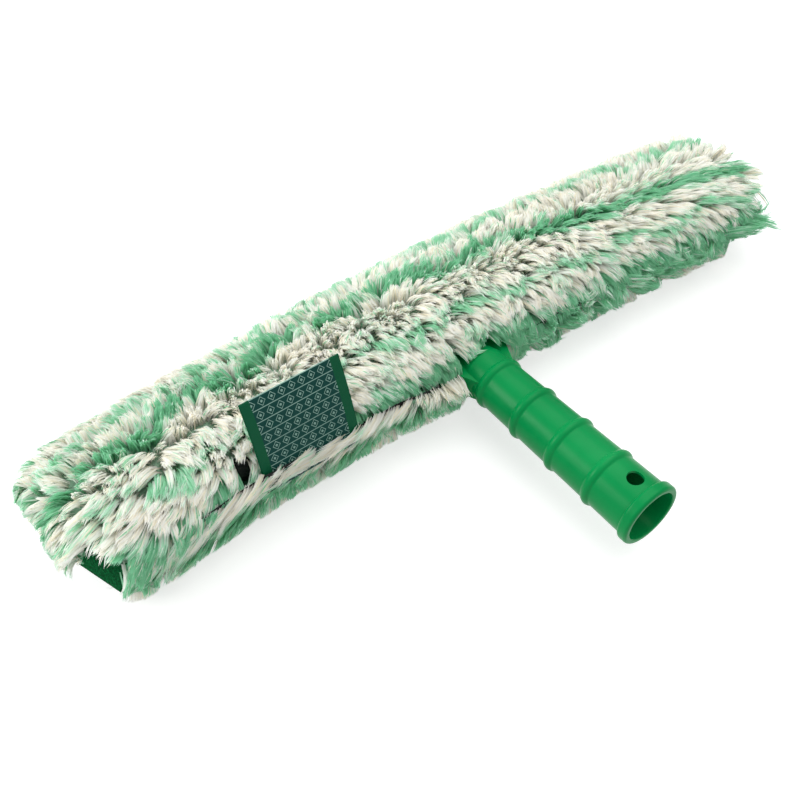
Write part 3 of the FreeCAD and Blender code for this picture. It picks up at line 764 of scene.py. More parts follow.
def comb_strands(locks, sleeve, per_lock, rng):
    """Every strand's points from root to tip, the way it faces and the number of its lock."""
    count = len(locks.along)
    lean = lean_of(locks, rng)
    tuft, aside = gather_tufts(locks, rng)
    leaves = leaf_share(locks)
    drawn = (sleeve.tuft_pull * (1 - rope_share(locks)) + LEAF_PULL * leaves) / sleeve.pile_length
    lean += locks.length_way * (drawn * aside[:, 0])[:, None]
    lean += locks.round_way * (drawn * aside[:, 1])[:, None]
    locks.tuft = tuft
    swell = ripple(rng, 0.06, locks)
    lump = ripple(rng, 0.02, locks)
    height = sleeve.pile_length * (MEAN_HEIGHT + SWELL * swell + SWELL * lump + rng.normal(0, SWELL, count))
    uneven = TUFT_UNEVEN + LEAF_UNEVEN * leaves
    tuft_height = rng.normal(0, 1, tuft.max() + 1)[tuft]
    height *= (1 + FRINGE_EXTRA * fringe_share(locks) + LEAF_EXTRA * leaves) * (1 + uneven * tuft_height)
    height *= 1 + LEFT_EXTRA * rising(-locks.along, 150 * MM, 50 * MM)
    stand = 1 - ROPE_FLATTENING * rope_share(locks)
    owner = np.repeat(np.arange(count), per_lock)
    total = len(owner)
    radius = sleeve.lock_spacing * LOCK_REACH * np.sqrt(rng.uniform(0, 1, total))
    heading = rng.uniform(0, 2 * math.pi, total)
    spread = (
        locks.round_way[owner] * (radius * np.cos(heading))[:, None]
        + locks.length_way[owner] * (radius * np.sin(heading))[:, None]
    )
    reach = height[owner] * scattered(rng, total, *STRAND_REACH)
    pull = sleeve.lock_pull * scattered(rng, total, *STRAND_PULL)
    frizz = rng.normal(0, 1, (total, 3)) * (height[owner] * FRIZZ)[:, None]
    points = []
    for share in STRAND_STATIONS:
        rise = 1.3 * share - 0.3 * share**2
        bend = 0.3 * share + 0.7 * share**2
        point = (
            locks.root[owner]
            + locks.outward[owner] * (reach * stand[owner] * rise)[:, None]
            + lean[owner] * (reach * bend)[:, None]
            + spread * (1 - pull * share)[:, None]
            + frizz * share**2
        )
        points.append(point)
    facing = locks.outward[owner] + 0.3 * spread / sleeve.lock_spacing + 0.15 * lean[owner]
    return np.stack(points, axis=1), unit(facing), owner


TAB_FOOT = 226.8 * MM
TAB_BASE = -24 * MM
TAB_RISE = 25 * MM
TAB_LEAN = 12 * MM
TAB_FRONT = -38 * MM
TAB_WIDTH = 30 * MM
TAB_CURL = 10 * MM
TAB_BOW = 0.8 * MM
TAB_THICKNESS = 1.4 * MM


def tab_inset(across):
    """How far an end tab follows the rounded corner inwards, from its rear edge to its front edge."""
    return TAB_CURL * np.clip((TAB_FRONT + TAB_WIDTH - across) / TAB_WIDTH, 0, 1.4)


HANDLE_TAPER = 0.0185
HANDLE_MOUTH = 16.2 * MM
HANDLE_ROOT = 148 * MM
HANDLE_BESIDE = 40 * MM
PILE_CLEARANCE = 0.8 * MM
FLOOR_ROOM = 0.3 * MM
LOOSE_SHARE = 0.25
LOOSE_LIP = 0.6
RIGHT_LIP_BLUNT = 0.5


def keep_in_shape(points, upper, around, sleeve):
    """Draws strands back that lean out of the sleeve's shape, all but a loose share of it."""
    run = points[..., 1] - BAR_Y - MIDDLE_Y
    rise = points[..., 2] - MIDDLE_Z
    out = np.hypot(run, rise)
    by_lip = by_lower_lip(around)[:, None]
    loose = LOOSE_SHARE + LOOSE_LIP * by_lip
    end = np.where(~upper[:, None] & (points[..., 0] > 0), LIP_END, SLEEVE_END)
    over = np.maximum(np.abs(points[..., 0]) - end, 0)
    points[..., 0] -= np.sign(points[..., 0]) * over * (1 - loose)
    rounding = (sleeve.end_inset + sleeve.pile_length) * end_bluntness(points[..., 0], around[:, None])
    rounding = rounding * (1 - RIGHT_LIP_BLUNT * by_lip * (points[..., 0] > 0))
    limit = shape_radius(points[..., 0], np.arctan2(rise, run), end, rounding)
    held = np.where(out > limit, (limit + (out - limit) * loose) / np.maximum(out, 1e-6), 1.0)
    points[..., 1] = BAR_Y + MIDDLE_Y + run * held
    points[..., 2] = MIDDLE_Z + rise * held
    leftmost = rising(-points[..., 0], LOW_LEFT_START, LOW_LEFT_RUN)
    lowest = rising(LOW_TOP - points[..., 2], 0, LOW_RUN)
    points[..., 0] += LOW_LEFT_INSET * leftmost * lowest


ROLL_REACH = 18 * MM
ROLL_POWER = 1.5
UPPER_ROLL_BACK = 4.5 * MM
UPPER_ROLL_RISE = 3 * MM


def roll_lips(points, around):
    """Rolls the lower lip up and out in front of the upper one, mostly on the label's side of the handle."""
    place = points[..., 0]
    rolled = by_table(place, (-208, -186, -60, -30, 14, 30, 210, 240), (0, 1, 1, 0.3, 0, 0.35, 0.35, 0))
    forward = by_table(place, (-165, -146, -86, -60), (4.5, 7.5, 7.5, 4.5)) * MM
    rise = by_table(place, (-170, -145, -130, -84), (9, 14, 12, 8)) * MM
    around = np.broadcast_to(around, points.shape[:-1])
    lower = rising(around, SECTION_LENGTH - ROLL_REACH, ROLL_REACH) ** ROLL_POWER
    upper = rising(ROLL_REACH - around, 0, ROLL_REACH) ** ROLL_POWER
    points[..., 1] += rolled * (UPPER_ROLL_BACK * upper - forward * lower)
    points[..., 2] += rolled * (UPPER_ROLL_RISE * upper + rise * lower)


CORNER_X = 207 * MM
RIGHT_CORNER_X = 192 * MM
CORNER_Y = -32 * MM
CORNER_RADIUS = 22 * MM


def round_front_corners(points):
    """Rounds the front corners of the lower panel's pile, seen from above."""
    corner = np.where(points[..., 0] > 0, RIGHT_CORNER_X, CORNER_X)
    beyond = np.maximum(np.abs(points[..., 0]) - corner, 0)
    before = np.maximum(CORNER_Y - (points[..., 1] - BAR_Y), 0)
    out = np.hypot(beyond, before)
    low = (points[..., 2] < np.where(points[..., 0] > 0, -2 * MM, 0)) & (beyond > 0) & (before > 0)
    low &= out > CORNER_RADIUS
    held = np.where(low, CORNER_RADIUS / np.maximum(out, 1e-6), 1.0)
    points[..., 0] -= np.sign(points[..., 0]) * beyond * (1 - held)
    points[..., 1] += before * (1 - held)


HANDLE_SPREAD = 9 * MM


def spread_at_handle(points):
    """Pushes the lower panel's front out where the handle holds the slit open, mostly on its left."""
    before = rising(BAR_Y - points[..., 1], 18 * MM, 22 * MM)
    beside = by_table(points[..., 0], (-120, -60, -22, -6, 12), (0, 0.5, 1, 0.8, 0))
    points[..., 1] -= HANDLE_SPREAD * before * beside


BOW_STATION = 200 * MM
BOW_MIDDLE = 4 * MM


def bow_shift(along, sleeve):
    """How far a section of the sleeve lies behind the straight line, at places along it."""
    return BOW_MIDDLE - sleeve.bow * (along / BOW_STATION) ** 2


def settle(points, upper, around, sleeve, ribbon):
    """Keeps the pile in shape, in the sleeve's slight bow, above the floor, off the handle and the label."""
    keep_in_shape(points, upper, around, sleeve)
    roll_lips(points, around[:, None])
    points[..., 1] = BAR_Y + (points[..., 1] - BAR_Y) * sleeve.fullness + bow_shift(points[..., 0], sleeve)
    round_front_corners(points)
    lower = points[~upper]
    spread_at_handle(lower)
    points[~upper] = lower
    flat = points.reshape(-1, 3)
    flat[:, 2] = np.maximum(flat[:, 2], BASE + FLOOR_ROOM)
    beside = (flat[:, 1] < HANDLE_ROOT) & (np.abs(flat[:, 0]) < HANDLE_BESIDE)
    clear = HANDLE_MOUTH - HANDLE_TAPER * flat[:, 1] + PILE_CLEARANCE
    out = np.hypot(flat[:, 0], flat[:, 2])
    push = np.where(beside & (out < clear), clear / np.maximum(out, 1e-6), 1.0)
    flat[:, 0] *= push
    flat[:, 2] *= push
    part_at_label(points, upper, ribbon)


LABEL_FOOT = (-50.5 * MM, 8.2 * MM)
LABEL_HEAD = (-35.0 * MM, 54.5 * MM)
LABEL_CURVE = 200 * MM
LABEL_TUCK = 2 * MM
LABEL_SIDE_ROOM = 0.6 * MM
LABEL_BACK_ROOM = 0.7 * MM
LABEL_FRONT_ROOM = 1.6 * MM
LABEL_WAVE = 0.35 * MM
LABEL_LIFT = 0.45 * MM


def label_arc():
    """The label's section: centre y and z, and its angles at the foot and at the head."""
    run = LABEL_HEAD[0] - LABEL_FOOT[0]
    rise = LABEL_HEAD[1] - LABEL_FOOT[1]
    chord = math.hypot(run, rise)
    back = math.sqrt(LABEL_CURVE**2 - (chord / 2) ** 2)
    centre_y = (LABEL_FOOT[0] + LABEL_HEAD[0]) / 2 + back * rise / chord
    centre_z = (LABEL_FOOT[1] + LABEL_HEAD[1]) / 2 - back * run / chord
    foot = math.atan2(LABEL_FOOT[1] - centre_z, LABEL_FOOT[0] - centre_y)
    head = math.atan2(LABEL_HEAD[1] - centre_z, LABEL_HEAD[0] - centre_y)
    return centre_y, centre_z, foot, head


def label_length():
    """The label's length along its arc, from the slit to its head."""
    foot, head = label_arc()[2:]
    return LABEL_CURVE * abs(foot - head)


def part_at_label(points, upper, ribbon):
    """Holds the upper panel's strands behind the label and the lower panel's in front of it."""
    lean = (LABEL_HEAD[0] - LABEL_FOOT[0]) / (LABEL_HEAD[1] - LABEL_FOOT[1])
    sheet_y = BAR_Y + LABEL_FOOT[0] + lean * (points[..., 2] - LABEL_FOOT[1])
    beside = np.abs(points[..., 0] - ribbon.middle) < ribbon.width / 2 + LABEL_SIDE_ROOM
    behind = np.maximum(points[..., 1], sheet_y + LABEL_BACK_ROOM)
    before = np.minimum(points[..., 1], sheet_y - LABEL_FRONT_ROOM)
    above = points[..., 2] > LABEL_FOOT[1]
    held = np.where(upper[:, None], behind, np.where(above, before, points[..., 1]))
    points[..., 1] = np.where(beside, held, points[..., 1])


# Bare stretches of the upper lip: beside the left end, and the dark hollow beside the label
GAP_LEFT = -190 * MM
GAP_RIGHT = -156 * MM
GAP_REACH = 4 * MM
HOLLOW_LEFT = -149.5 * MM
HOLLOW_RIGHT = -139 * MM
HOLLOW_REACH = 27 * MM

# The handle's opening: to either side of it, from how far before the bar, and above and below it
OPEN_BESIDE = 18 * MM
OPEN_BEFORE = -10 * MM
OPEN_HEIGHT = 12 * MM


def clear_places(locks):
    """Locks that grow neither in the handle's opening nor in the bare stretches of the upper lip."""
    across = locks.root[:, 1] - BAR_Y
    height = locks.root[:, 2]
    along = locks.root[:, 0]
    by_handle = (np.abs(along) < OPEN_BESIDE) & (across < OPEN_BEFORE) & (np.abs(height) < OPEN_HEIGHT)
    in_slit = (along > GAP_LEFT) & (along < GAP_RIGHT) & (locks.around < GAP_REACH)
    in_slit |= (along > HOLLOW_LEFT) & (along < HOLLOW_RIGHT) & (locks.around < HOLLOW_REACH)
    return ~(by_handle | in_slit)


TAB_PARTING = (0.28, -0.57, 0.77)
TAB_SINK = 1 * MM
SWING_ROOM = 5 * MM
SWING_BESIDE = 2 * MM
STRIP_ROOM = 0.3 * MM

# Bare part of a tab: beyond its front edge, short of its rear edge, below its foot and above it
BARE_FRONT = 3 * MM
BARE_REAR = 6 * MM
BARE_BELOW = 3.5 * MM
BARE_ABOVE = 14 * MM


def over_tab(points, side, margin):
    """Which points lie over a tab's bare lower part, along the pile's parting, and how far outside it."""
    parting = np.array(TAB_PARTING) * (side, 1, 1)
    normal = np.array((side * TAB_RISE, -TAB_CURL / TAB_WIDTH * TAB_RISE, TAB_LEAN))
    foot = np.array((side * TAB_FOOT, BAR_Y + TAB_FRONT + TAB_WIDTH, TAB_BASE))
    outside = (points - foot) @ normal
    above = outside / (parting @ normal)
    place = points - above[..., None] * parting - foot
    over = above > -TAB_SINK
    over &= (place[..., 1] > -TAB_WIDTH - BARE_FRONT - margin) & (place[..., 1] < margin - BARE_REAR)
    over &= (place[..., 2] > -BARE_BELOW - margin) & (place[..., 2] < BARE_ABOVE + margin)
    return over, outside / normal[0]


def off_the_tabs(points):
    """Strands that leave the end tabs' lower parts bare, and room for the right-hand tab's swing."""
    keep = np.ones(len(points), bool)
    for side in (-1, 1):
        keep &= ~over_tab(points, side, 0.0)[0].any(axis=1)
    across = points[..., 1] - BAR_Y
    swept = (points[..., 0] > TAB_FOOT - TAB_SINK) & (points[..., 2] < TAB_BASE + SWING_ROOM)
    swept &= (across > TAB_FRONT - SWING_BESIDE) & (across < TAB_FRONT + TAB_WIDTH + SWING_BESIDE)
    return keep & ~swept.any(axis=1)


def off_the_strips(points):
    """Strands that don't run through the closing strips."""
    keep = np.ones(len(points), bool)
    for strip in ("hook_strip_left", "hook_strip_right", "loop_strip_left", "loop_strip_right"):
        low, high = (np.array(corner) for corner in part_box(strip))
        within = (points > low - STRIP_ROOM) & (points < high + STRIP_ROOM)
        keep &= ~within.all(axis=2).any(axis=1)
    return keep


GREEN_FROM = 0.6
TIPPED_FROM = 0.2
UNTIPPED_SHARE = 0.35
STRAY_SHARE = 0.03
STRIPE_WAVER = 2.5 * MM

# How far the tones scatter from tuft to tuft, lock to lock and strand to strand, and the greens in depth
TUFT_TONES = 0.1
LOCK_TONES = 0.06
STRAND_TONES = 0.1
DEPTH_SCATTER = 0.16

# Places on the tone map, as where each kind starts and how far it reaches
PALE = (0.02, 0.4)
# Green roots sit further along the map than green tips, so green strands deepen towards the root as painted
# shade
GREEN_ROOT = (0.72, 0.25)
GREEN_TIP = (0.58, 0.3)
TINTED_TIP = (0.56, 0.22)


def tone_place(kind, share):
    """A place on the tone map, that share of the way through its kind."""
    return kind[0] + kind[1] * share


def strand_tones(locks, owner, rng):
    """Each strand's places on the tone map at its root and tip: creams below the middle, greens above it."""
    breaks = ripple(rng, 0.03, locks)
    waver = ripple(rng, 0.05, locks) * STRIPE_WAVER
    share, depth = stripe_share(locks.along, locks.around + waver, breaks)
    share += rng.normal(0, TUFT_TONES, locks.tuft.max() + 1)[locks.tuft]
    total = len(owner)
    share = (share + rng.normal(0, LOCK_TONES, len(share)))[owner] + rng.normal(0, STRAND_TONES, total)
    stray = rng.uniform(0, 1, total)
    green = (share > GREEN_FROM) ^ (stray < STRAY_SHARE)
    tipped = ~green & (share > TIPPED_FROM) & (stray > UNTIPPED_SHARE)
    pale = tone_place(PALE, rng.uniform(0, 1, total))
    deep = np.clip(depth[owner] + rng.normal(0, DEPTH_SCATTER, total), 0.05, 1)
    # Painted shade: green roots take deeper greens than their tips
    root = np.where(green, tone_place(GREEN_ROOT, deep), pale)
    pale_tip = np.where(tipped, tone_place(TINTED_TIP, deep), pale)
    tip = np.where(green, tone_place(GREEN_TIP, deep), pale_tip)
    return root, tip


TURN_SCATTER = 0.12
WIDTH_RANGE = (0.7, 1.25)
TONE_DRIFT = 0.004


def strand_mesh(name, points, facing, root_tones, tip_tones, width, rng):
    """One mesh of thin tapered strands, with the tone map that its colours are read from."""
    count, stations = points.shape[:2]
    rings = stations - 1
    direction = unit(points[:, -1] - points[:, 0])
    turned = facing + rng.normal(0, TURN_SCATTER, (count, 3))
    aside = unit(np.cross(direction, turned))
    per_strand = rings * 2 + 1
    vertices = np.zeros((count, per_strand, 3))
    half = width / 2 * rng.uniform(*WIDTH_RANGE, count)
    for ring in range(rings):
        reach = aside * (half * STRAND_TAPER[ring])[:, None]
        vertices[:, ring * 2] = points[:, ring] + reach
        vertices[:, ring * 2 + 1] = points[:, ring] - reach
    vertices[:, -1] = points[:, -1]
    faces = [(ring * 2 + 1, ring * 2, ring * 2 + 2, ring * 2 + 3) for ring in range(rings - 1)]
    faces.append((rings * 2 - 1, rings * 2 - 2, rings * 2))
    corners = np.array([corner for face in faces for corner in face])
    sizes = np.array([len(face) for face in faces])
    shares = np.array([STRAND_STATIONS[ring] for ring in range(rings) for _ in range(2)] + [1.0])
    drift = np.array([side for _ in range(rings) for side in (-1, 1)] + [0]) * TONE_DRIFT
    loop_vertex = (np.arange(count)[:, None] * per_strand + corners[None, :]).ravel()
    loop_start = np.concatenate([[0], np.cumsum(np.tile(sizes, count))[:-1]])
    mesh = bpy.data.meshes.new(name)
    mesh.vertices.add(count * per_strand)
    mesh.vertices.foreach_set("co", vertices.astype(np.float32).ravel())
    mesh.loops.add(len(loop_vertex))
    mesh.loops.foreach_set("vertex_index", loop_vertex.astype(np.int32))
    mesh.polygons.add(len(loop_start))
    mesh.polygons.foreach_set("loop_start", loop_start.astype(np.int32))
    mesh.polygons.foreach_set("use_smooth", np.ones(len(loop_start), bool))
    mesh.update(calc_edges=True)
    tone_map = mesh.uv_layers.new(name=TONE_MAP)
    way_up = shares[corners][None, :]
    across = root_tones[:, None] + (tip_tones - root_tones)[:, None] * way_up + drift[corners][None, :]
    along = 0.02 + 0.96 * np.broadcast_to(way_up, across.shape)
    tone_map.uv.foreach_set("vector", np.stack([across, along], axis=2).astype(np.float32).ravel())
    return mesh


def pile_material(sleeve):
    """Pile yarn: its tone runs across the map, and a painted shade darkens each strand from its tip down to
    its root.
    """
    material, tree, shader = new_material("plush_pile")
    place = add_node(tree, "ShaderNodeUVMap", {"uv_map": TONE_MAP})
    parts = add_node(tree, "ShaderNodeSeparateXYZ", Vector=place.outputs["UV"])
    tone = ramp(
        tree,
        parts.outputs["X"],
        [
            (0.0, sleeve.cream),
            (0.2, sleeve.white),
            (0.42, sleeve.white),
            (0.58, sleeve.mint),
            (0.78, sleeve.green),
            (1.0, sleeve.deep_green),
        ],
    )
    # Painted shade: each strand's colour darkens towards its root, for the shade deep in the pile
    shade = ramp(
        tree,
        parts.outputs["Y"],
        [(0.0, (0.8, 0.8, 0.78)), (0.4, (0.96, 0.96, 0.95)), (0.75, (1, 1, 1)), (1.0, (1, 1, 1))],
    )
    colour = blend_colours(tree, 1.0, tone, shade, "MULTIPLY")
    put_all(tree, shader, Base_Color=colour, Roughness=0.72, Specular_IOR_Level=0.25)
    put_all(tree, shader, Sheen_Weight=0.25, Sheen_Roughness=0.45)
    through = add_node(tree, "ShaderNodeBsdfTranslucent", Color=colour)
    both = add_node(tree, "ShaderNodeMixShader", Fac=0.55)
    tree.links.new(shader.outputs[0], both.inputs[1])
    tree.links.new(through.outputs[0], both.inputs[2])
    output = next(node for node in tree.nodes if node.type == "OUTPUT_MATERIAL")
    tree.links.new(both.outputs[0], output.inputs["Surface"])
    return material


MOST_STRANDS = 36000


def hang_on_sleeve(piece, upper):
    """Bakes a piece's place into its mesh, and hides the solids of the panel it covers and of the rear fold,
    for which it stands.
    """
    if upper:
        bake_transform(piece)
        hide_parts("upper_panel", "rear_fold")
    else:
        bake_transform(piece)
        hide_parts("lower_panel", "rear_fold")


class SCRUBBER_OT_grow_pile(Operator):
    """Grows the striped pile over the sleeve, lock by lock"""

    bl_idname = "scrubber.grow_pile"
    bl_label = "Grow pile"

    def execute(self, context):
        sleeve = context.scene.scrubber_sleeve
        rng = np.random.default_rng(20)
        per_lock = sleeve.strands_per_lock
        width = sleeve.strand_width * 1
        locks = plant_locks(sleeve, rng)
        along_lip(locks)
        locks.kept(clear_places(locks))
        points, facing, owner = comb_strands(locks, sleeve, per_lock, rng)
        upper = locks.around[owner] < REAR_MIDDLE
        settle(points, upper, locks.around[owner], sleeve, context.scene.scrubber_ribbon)
        roots, tips = strand_tones(locks, owner, rng)
        clear = off_the_tabs(points) & off_the_strips(points)
        material = pile_material(sleeve)
        for half, is_upper in (("upper", True), ("lower", False)):
            mine = np.flatnonzero((upper == is_upper) & clear)
            mine = mine[np.argsort(points[mine, 0, 0], kind="stable")]
            pieces = math.ceil(len(mine) / MOST_STRANDS)
            for number, members in enumerate(np.array_split(mine, pieces), start=1):
                name = f"pile_{half}_{number}"
                tones = (roots[members], tips[members])
                mesh = strand_mesh(name, points[members], facing[members], *tones, width, rng)
                piece = new_object(name, mesh, material)
                hang_on_sleeve(piece, is_upper)
        return {"FINISHED"}


# Padded cloth under the pile

OPENING_HALF = 31 * MM
LIP_THICKNESS = 1.2 * MM
POCKET_BEND = 10 * MM
POCKET_ROOM = 1 * MM

# The cloth behind the tabs: how far it keeps back from them, how far to the rear, and round their bare part
TAB_BACK_ROOM = 1.2 * MM
TAB_REAR = -3 * MM
BARE_MARGIN = 3 * MM
BARE_DEPTH = 1.6 * MM


def section_points(along, section):
    """A section's points at that place along the sleeve, from their places across and up."""
    return np.column_stack([np.full(len(section), along), section[:, 0] + BAR_Y, section[:, 1]])


def core_outside(along, depth, upper, sleeve):
    """The outer line of one section of the padded cloth, from its lip to the rear fold."""
    ways = np.linspace(0.0 if upper else SECTION_LENGTH, REAR_MIDDLE, 60)
    across, height, angle = section_at(ways)
    line = np.stack([across - depth * np.cos(angle), height - depth * np.sin(angle)], axis=1)
    rolled = section_points(along, line)
    roll_lips(rolled, ways)
    line = rolled[:, 1:] - (BAR_Y, 0.0)
    line[:, 0] = line[:, 0] * sleeve.fullness + bow_shift(along, sleeve)
    if not upper:
        spread = section_points(along, line)
        spread_at_handle(spread)
        line = spread[:, 1:] - (BAR_Y, 0.0)
    return line


def core_inside(outside, roof, front_face, in_pocket):
    """The inner line of one section, from the rear fold round the bar's pocket to the lip."""
    reach = POCKET_ROOF + POCKET_ROOM
    line = [(POCKET_BEND + reach, float(outside[-1, 1]))]
    for turn in np.radians((18, 36, 54, 72, 90)):
        height = roof * math.sin(turn) if in_pocket else roof
        line.append((POCKET_BEND + reach * math.cos(turn), height))
    line.append((POCKET_FRONT, roof))
    line.append((POCKET_FRONT, front_face))
    lip_y = float(outside[0, 0])
    for share in np.linspace(0.15, 0.97, 6):
        line.append((POCKET_FRONT + share * (lip_y - POCKET_FRONT), front_face))
    line = np.array(line)
    line[:, 0] = np.clip(line[:, 0], outside[:, 0].min() + 1 * MM, outside[:, 0].max() - 2 * MM)
    return line


def keep_behind_tabs(ring, across, upper):
    """Draws a section in where it would stand before the end tabs or over their bare parts."""
    if not upper:
        leaning = TAB_LEAN * (ring[:, 2] - TAB_BASE) / TAB_RISE
        slope = TAB_FOOT - TAB_BACK_ROOM - tab_inset(across) - leaning
        ring[:, 0] = np.where(across < TAB_REAR, np.clip(ring[:, 0], -slope, slope), ring[:, 0])
    for side in (-1, 1):
        over, outwards = over_tab(ring, side, BARE_MARGIN)
        ring[:, 0] = np.where(over, ring[:, 0] - outwards - side * BARE_DEPTH, ring[:, 0])


def core_ring(along, depth, upper, sleeve):
    """One section of the padded cloth, as points round it, and how many of them are outside."""
    outside = core_outside(along, depth, upper, sleeve)
    sign = 1 if upper else -1
    in_pocket = abs(along) < POCKET_END
    in_opening = abs(along) < OPENING_HALF
    face = SLIT_HEIGHT + sign * (SLIT_HALF_GAP + (STRIP_PROUD if in_pocket else 0.0))
    if upper:
        outside[:, 1] = np.maximum(outside[:, 1], face + LIP_THICKNESS)
    opened = by_table(abs(along), (17, 22), (15.5, 8.6)) * MM
    if in_opening:
        low = (outside[:, 0] < POCKET_FRONT) & (sign * outside[:, 1] < opened + LIP_THICKNESS)
        outside[:, 1] = np.where(low, sign * (opened + LIP_THICKNESS), outside[:, 1])
    front_face = sign * opened if in_opening else face
    roof = sign * POCKET_ROOF if in_pocket else face
    section = np.concatenate([outside, core_inside(outside, roof, front_face, in_pocket)])
    ring = section_points(along, section)
    keep_behind_tabs(ring, section[:, 0], upper)
    return ring, len(outside)


def core_stations(sleeve):
    """Where the padded cloth's sections stand, with the cloth's depth there."""
    depth = sleeve.pile_length
    flank = SLEEVE_END - depth - sleeve.end_curve
    step = 0.01 * MM
    marks = [OPENING_HALF, 60 * MM, 100 * MM, -HOLLOW_RIGHT, -HOLLOW_LEFT, 180 * MM, POCKET_END]
    stations = [(0.0, depth), (12 * MM, depth), (22 * MM, depth)]
    for mark in marks:
        stations.append((mark - step, depth))
        stations.append((mark + step, depth))
    for turn in np.radians((0, 20, 40, 60, 75, 90)):
        along = flank + sleeve.end_curve * math.sin(turn)
        stations.append((along, depth + sleeve.end_inset * (1 - math.cos(turn))))
    mirrored = [(-along, inset) for along, inset in reversed(stations[1:])]
    blunt = [(along, depth + (inset - depth) * BLUNT_END) for along, inset in stations]
    return mirrored + blunt


# Rows of near-black binding at the lip; the many rows over the hollow beside the label are painted shade
BOUND_ROWS = 1
HOLLOW_SHADE_ROWS = 13


def core_mesh(name, upper, sleeve):
    """The padded cloth of one half of the sleeve: outside, inner face and the bound edge of its lip, with the
    binding's near-black as painted shade in the slit and over the hollow beside the label.
    """
    form = bmesh.new()
    rings = []
    for along, depth in core_stations(sleeve):
        ring, outside = core_ring(along, depth, upper, sleeve)
        rings.append([form.verts.new(point) for point in ring])
    count = len(rings[0])
    for before, after in zip(rings, rings[1:]):
        middle = (before[0].co.x + after[0].co.x) / 2
        bound = HOLLOW_SHADE_ROWS if upper and HOLLOW_LEFT < middle < HOLLOW_RIGHT else BOUND_ROWS
        for index in range(count):
            following = (index + 1) % count
            corners = [before[index], before[following], after[following], after[index]]
            made = form.faces.new(corners)
            by_lip = index < bound or index >= count - 2
            made.material_index = 2 if by_lip else 0 if index < outside - 1 else 1
            made.smooth = True
    for end in (rings[0], rings[-1]):
        form.faces.new(end).material_index = 1
    bmesh.ops.recalc_face_normals(form, faces=form.faces)
    return finished_mesh(form, name)


def ground_material(sleeve):
    """Cloth between the roots of the pile, in the pile's own tones, mottled darker as painted shade in the
    gaps between the strands.
    """
    material, tree, shader = new_material("pile_ground")
    grain = use_group(tree, grain_group(), Fine_Scale=1400.0, Slow_Scale=70.0)
    # The darker end of this mottle is painted shade for the gaps between the strands
    shades = [(0.3, scaled(sleeve.ground, 0.75)), (0.7, sleeve.ground)]
    put_all(tree, shader, Base_Color=ramp(tree, grain.outputs["Mottle"], shades), Roughness=0.95)
    bump(tree, shader, grain.outputs["Height"], 0.6, 0.8 * MM)
    return material


def backing_material(sleeve):
    """Knitted backing: rows of small loops with fibres over them."""
    material, tree, shader = new_material("knitted_backing")
    place = tree.nodes.new("ShaderNodeTexCoord").outputs["Object"]
    parts = add_node(tree, "ShaderNodeSeparateXYZ", Vector=place)
    across, along = parts.outputs["X"], parts.outputs["Y"]
    weave = use_group(tree, weave_group(), Across=across, Along=along, Warp_Count=550.0, Weft_Count=420.0)
    grain = use_group(tree, grain_group(), Fine_Scale=1600.0, Slow_Scale=45.0)
    # Painted shade: the knit is darker where its loops dip
    knit = blend_colours(tree, weave.outputs["Height"], scaled(sleeve.backing, 0.72), sleeve.backing)
    patch = calc(tree, "MULTIPLY", grain.outputs["Mottle"], 0.3)
    put_all(tree, shader, Base_Color=blend_colours(tree, patch, knit, sleeve.ground), Roughness=0.92)
    height = calc(tree, "ADD", weave.outputs["Height"], calc(tree, "MULTIPLY", grain.outputs["Height"], 0.6))
    bump(tree, shader, height, 0.7, 0.5 * MM)
    return material


class SCRUBBER_OT_pad_sleeve(Operator):
    """Makes the padded cloth of the sleeve's upper and lower halves"""

    bl_idname = "scrubber.pad_sleeve"
    bl_label = "Pad sleeve"

    def execute(self, context):
        sleeve = context.scene.scrubber_sleeve
        ground = ground_material(sleeve)
        backing = backing_material(sleeve)
        # The binding's near-black is painted shade in the slit and in the hollow beside the label
        binding = tape_material("lip_binding_and_shade", context.scene.scrubber_ribbon.binding, 1500.0, 0.3 * MM)
        for name, upper in (("pad_upper", True), ("pad_lower", False)):
            piece = new_object(name, core_mesh(name, upper, sleeve), ground, backing, binding)
            hang_on_sleeve(piece, upper)
        return {"FINISHED"}


# Label

def ribbon_sheet(name, surface, columns, rows, thickness):
    """A thin closed sheet over a surface(u, v) -> (point, normal), with its own map on both faces."""
    form = bmesh.new()
    layer = form.loops.layers.uv.new(RIBBON_MAP)
    sides = []
    for offset in (thickness / 2, -thickness / 2):
        grid = []
        for row in range(rows + 1):
            line = []
            for column in range(columns + 1):
                point, normal = surface(column / columns, row / rows)
                line.append(form.verts.new(point + normal * offset))
            grid.append(line)
        sides.append(grid)
    front, back = sides

    def face(corners, places):
        made = form.faces.new(corners)
        made.smooth = True
        for loop, place in zip(made.loops, places):
            loop[layer].uv = place

    for row in range(rows):
        for column in range(columns):
            spots = [(column, row), (column + 1, row), (column + 1, row + 1), (column, row + 1)]
            places = [(across / columns, along / rows) for across, along in spots]
            face([front[along][across] for across, along in spots], places)
            spots.reverse()
            places.reverse()
            face([back[along][across] for across, along in spots], places)
    rim = [(column, 0) for column in range(columns)]
    rim += [(columns, row) for row in range(rows)]
    rim += [(column, rows) for column in range(columns, 0, -1)]
    rim += [(0, row) for row in range(rows, 0, -1)]
    for (across, along), (next_across, next_along) in zip(rim, rim[1:] + rim[:1]):
        places = [(across / columns, along / rows), (next_across / columns, next_along / rows)]
        face(
            [
                back[along][across],
                back[next_along][next_across],
                front[next_along][next_across],
                front[along][across],
            ],
            [places[0], places[1], places[1], places[0]],
        )
    bmesh.ops.recalc_face_normals(form, faces=form.faces)
    return finished_mesh(form, name)


